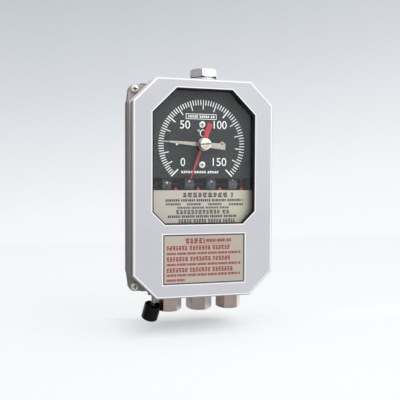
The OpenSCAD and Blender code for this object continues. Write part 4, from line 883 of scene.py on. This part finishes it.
# Data plate
# A beige plate below the dial. Its lines of data are left out: plain rows of black ruling stand there.
data_low, data_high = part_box("data_plate")
data_foil = foil("data_foil", srgb(200, 188, 179), srgb(207, 200, 175), 0.0, data_high.x)
black_ink = ink("black_ink", srgb(12, 11, 11))
dress("data_plate", data_foil)
# Each row, in mm: left end, right end, height of its middle over that of the wall bolts, height of the
# blocks, block width, and then blocks in a run and strokes in a block
data_rows = (
    (-20.4, 34.0, -6.7, 5.2, 4.9, 9, 3),
    (-39.1, 45.1, -12.2, 3.0, 2.0, 7, 1),
    (-38.3, -22.9, -16.2, 2.6, 1.6, 9, 1),
    (-15.9, -0.9, -16.3, 2.6, 1.6, 9, 1),
    (6.5, 21.4, -16.4, 2.6, 1.6, 9, 1),
    (29.5, 46.2, -16.6, 2.6, 1.6, 9, 1),
    (-26.4, 29.2, -19.9, 2.4, 1.6, 8, 1),
    (-27.8, 31.2, -24.3, 4.4, 3.6, 12, 3),
    (-36.4, 39.0, -28.9, 3.0, 1.8, 7, 1),
    (-25.0, 36.0, -33.6, 4.2, 2.6, 5, 3),
)
data_parts = []
for i, (x0, x1, z, tall, block, run, strokes) in enumerate(data_rows):
    data_parts += ruled_row(
        x0 * mm, x1 * mm, z * mm, tall * mm, data_low.y, block * mm, run, 0.7 * i, strokes,
    )
join_pieces(data_parts, "data_ruling", black_ink)


# Pointers
# A nickel-plated pointer on its hub with a white drag pin, and before it the red drag pointer on the
# spindle of the pale knob that sets it back.
pointer_nickel = plated("pointer_nickel", srgb(204, 192, 180), 0.34, stain=0.15)
for node in ("pointer", "pointer_hub"):
    dress(node, pointer_nickel)
dress("drag_pin", enamel("pin_enamel", srgb(240, 240, 236), 0.35))
red_enamel = enamel("red_enamel", srgb(188, 36, 54), 0.42, grain=1500.0, depth=0.03, coat=0.1, spread=0.06)
dress("drag_pointer", red_enamel)
knob_low, knob_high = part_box("reset_knob")
knob_r = (knob_high.x - knob_low.x) / 2
rim_starts, rim_full = knob_r - 1.5 * mm, knob_r - 1.1 * mm  # its pale rim, by distance from the axis
pointer_axis_z = 45.3 * mm
knob_face, knob_tree, knob_skin = blank_material("knob_face")
knob_place = add_node(knob_tree, "ShaderNodeTexCoord")
knob_centred = add_node(
    knob_tree, "ShaderNodeVectorMath", [(0, knob_place.outputs["Object"]), (1, (0, 0, pointer_axis_z))],
    operation="SUBTRACT",
)
knob_flat = add_node(
    knob_tree, "ShaderNodeVectorMath", [(0, knob_centred.outputs[0]), (1, (1, 0, 1))], operation="MULTIPLY",
)
from_axis = add_node(knob_tree, "ShaderNodeVectorMath", [(0, knob_flat.outputs[0])], operation="LENGTH")
on_rim = span(knob_tree, from_axis.outputs["Value"], rim_starts, rim_full, 0.0, 1.0)
knob_grain = use_group(knob_tree, surface_grain, [("Size", 1800.0), ("Depth", 0.06), ("Cloud", 160.0)])
knob_cloud = span(knob_tree, knob_grain.outputs["Tone"], 0.35, 0.7, 0.0, 1.0)
knob_dull = tone_mix(knob_tree, knob_cloud, srgb(214, 207, 188), srgb(232, 227, 210))
knob_colour = tone_mix(knob_tree, on_rim, knob_dull, srgb(252, 250, 244))
knob_tree.links.new(knob_colour, knob_skin.inputs["Base Color"])
knob_roughness = span(knob_tree, knob_grain.outputs["Speck"], 0.3, 0.7, 0.3, 0.42)
knob_tree.links.new(knob_roughness, knob_skin.inputs["Roughness"])
knob_tree.links.new(knob_grain.outputs["Normal"], knob_skin.inputs["Normal"])
knob_skin.inputs["Metallic"].default_value = 0.2
knob = copy_of("reset_knob", "slotted_knob")
knob.data.materials.append(knob_face)
knob.data.materials.append(recess_shade)
# Painted shade darkens the neck behind the disc and the slot across it.
neck_depth, slot_reach, slot_top, slot_floor = 1.6 * mm, 5.4 * mm, 0.3 * mm, 1.5 * mm
for face in knob.data.polygons:
    sunk = face.center.y - knob_low.y
    across = Vector((face.center.x, face.center.z - pointer_axis_z)).length
    if sunk > neck_depth or (across < slot_reach and slot_top < sunk < slot_floor):
        face.material_index = 1
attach(knob, "drag_set")
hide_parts("reset_knob")
bush_nickel = plated("bush_nickel", srgb(226, 220, 204), 0.34, stain=0.10)
for node in ("reset_bush", "reset_bush_nut"):
    dress(node, bush_nickel)


# Setting wheels and what drives the switches
# Four small moulded wheels on one axle show in the slot under the dial, with a red finger beside each.
wheel_plastic = moulded("wheel_plastic", srgb(31, 34, 39), 0.42)
# The narrow bands that break the wheels' edges are pale grey as a painted highlight.
edge_highlight = moulded("edge_highlight", srgb(122, 126, 136), 0.5)
mark_white = ink("mark_white", srgb(232, 233, 234))
button_red = enamel("button_red", srgb(190, 40, 40), 0.4)
wheel_marks = (1.6, 3.0, 3.1, 4.2)  # how far each wheel's white mark stands above the axle, in mm
mark_side, mark_proud = 1.6 * mm, 0.02 * mm
for i in range(1, 5):
    wheel = copy_of(f"setting_wheel_{i}", f"marked_wheel_{i}")
    wheel.data.materials.append(wheel_plastic)
    wheel.data.materials.append(edge_highlight)
    break_edges(wheel, 0.3 * mm, limit=60, segments=1, band=1)
    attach(wheel, f"wheel_{i}")
    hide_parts(f"setting_wheel_{i}")
    wheel_low, wheel_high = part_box(f"setting_wheel_{i}")
    wheel_mid = (wheel_low + wheel_high) / 2
    mark_z = wheel_mid.z + wheel_marks[i - 1] * mm
    reach = math.sqrt((wheel_mid.y - wheel_low.y) ** 2 - (mark_z - wheel_mid.z) ** 2)
    mark = printed_bar(wheel_mid.x, mark_z, mark_side, mark_side, wheel_mid.y - reach - mark_proud)
    join_pieces([mark], f"wheel_mark_{i}", mark_white, f"wheel_{i}")
    dress(f"switch_button_{i}", button_red)
dress("index_fingers", red_enamel)
for node in ("wheel_bracket", "wheel_axle"):
    dress(node, matt_black)
switch_plastic = moulded("switch_plastic", srgb(30, 30, 32), 0.5)
for node in ("micro_switches", "terminal_block"):
    dress(node, switch_plastic)
dress("terminal_screws", yellow_brass)
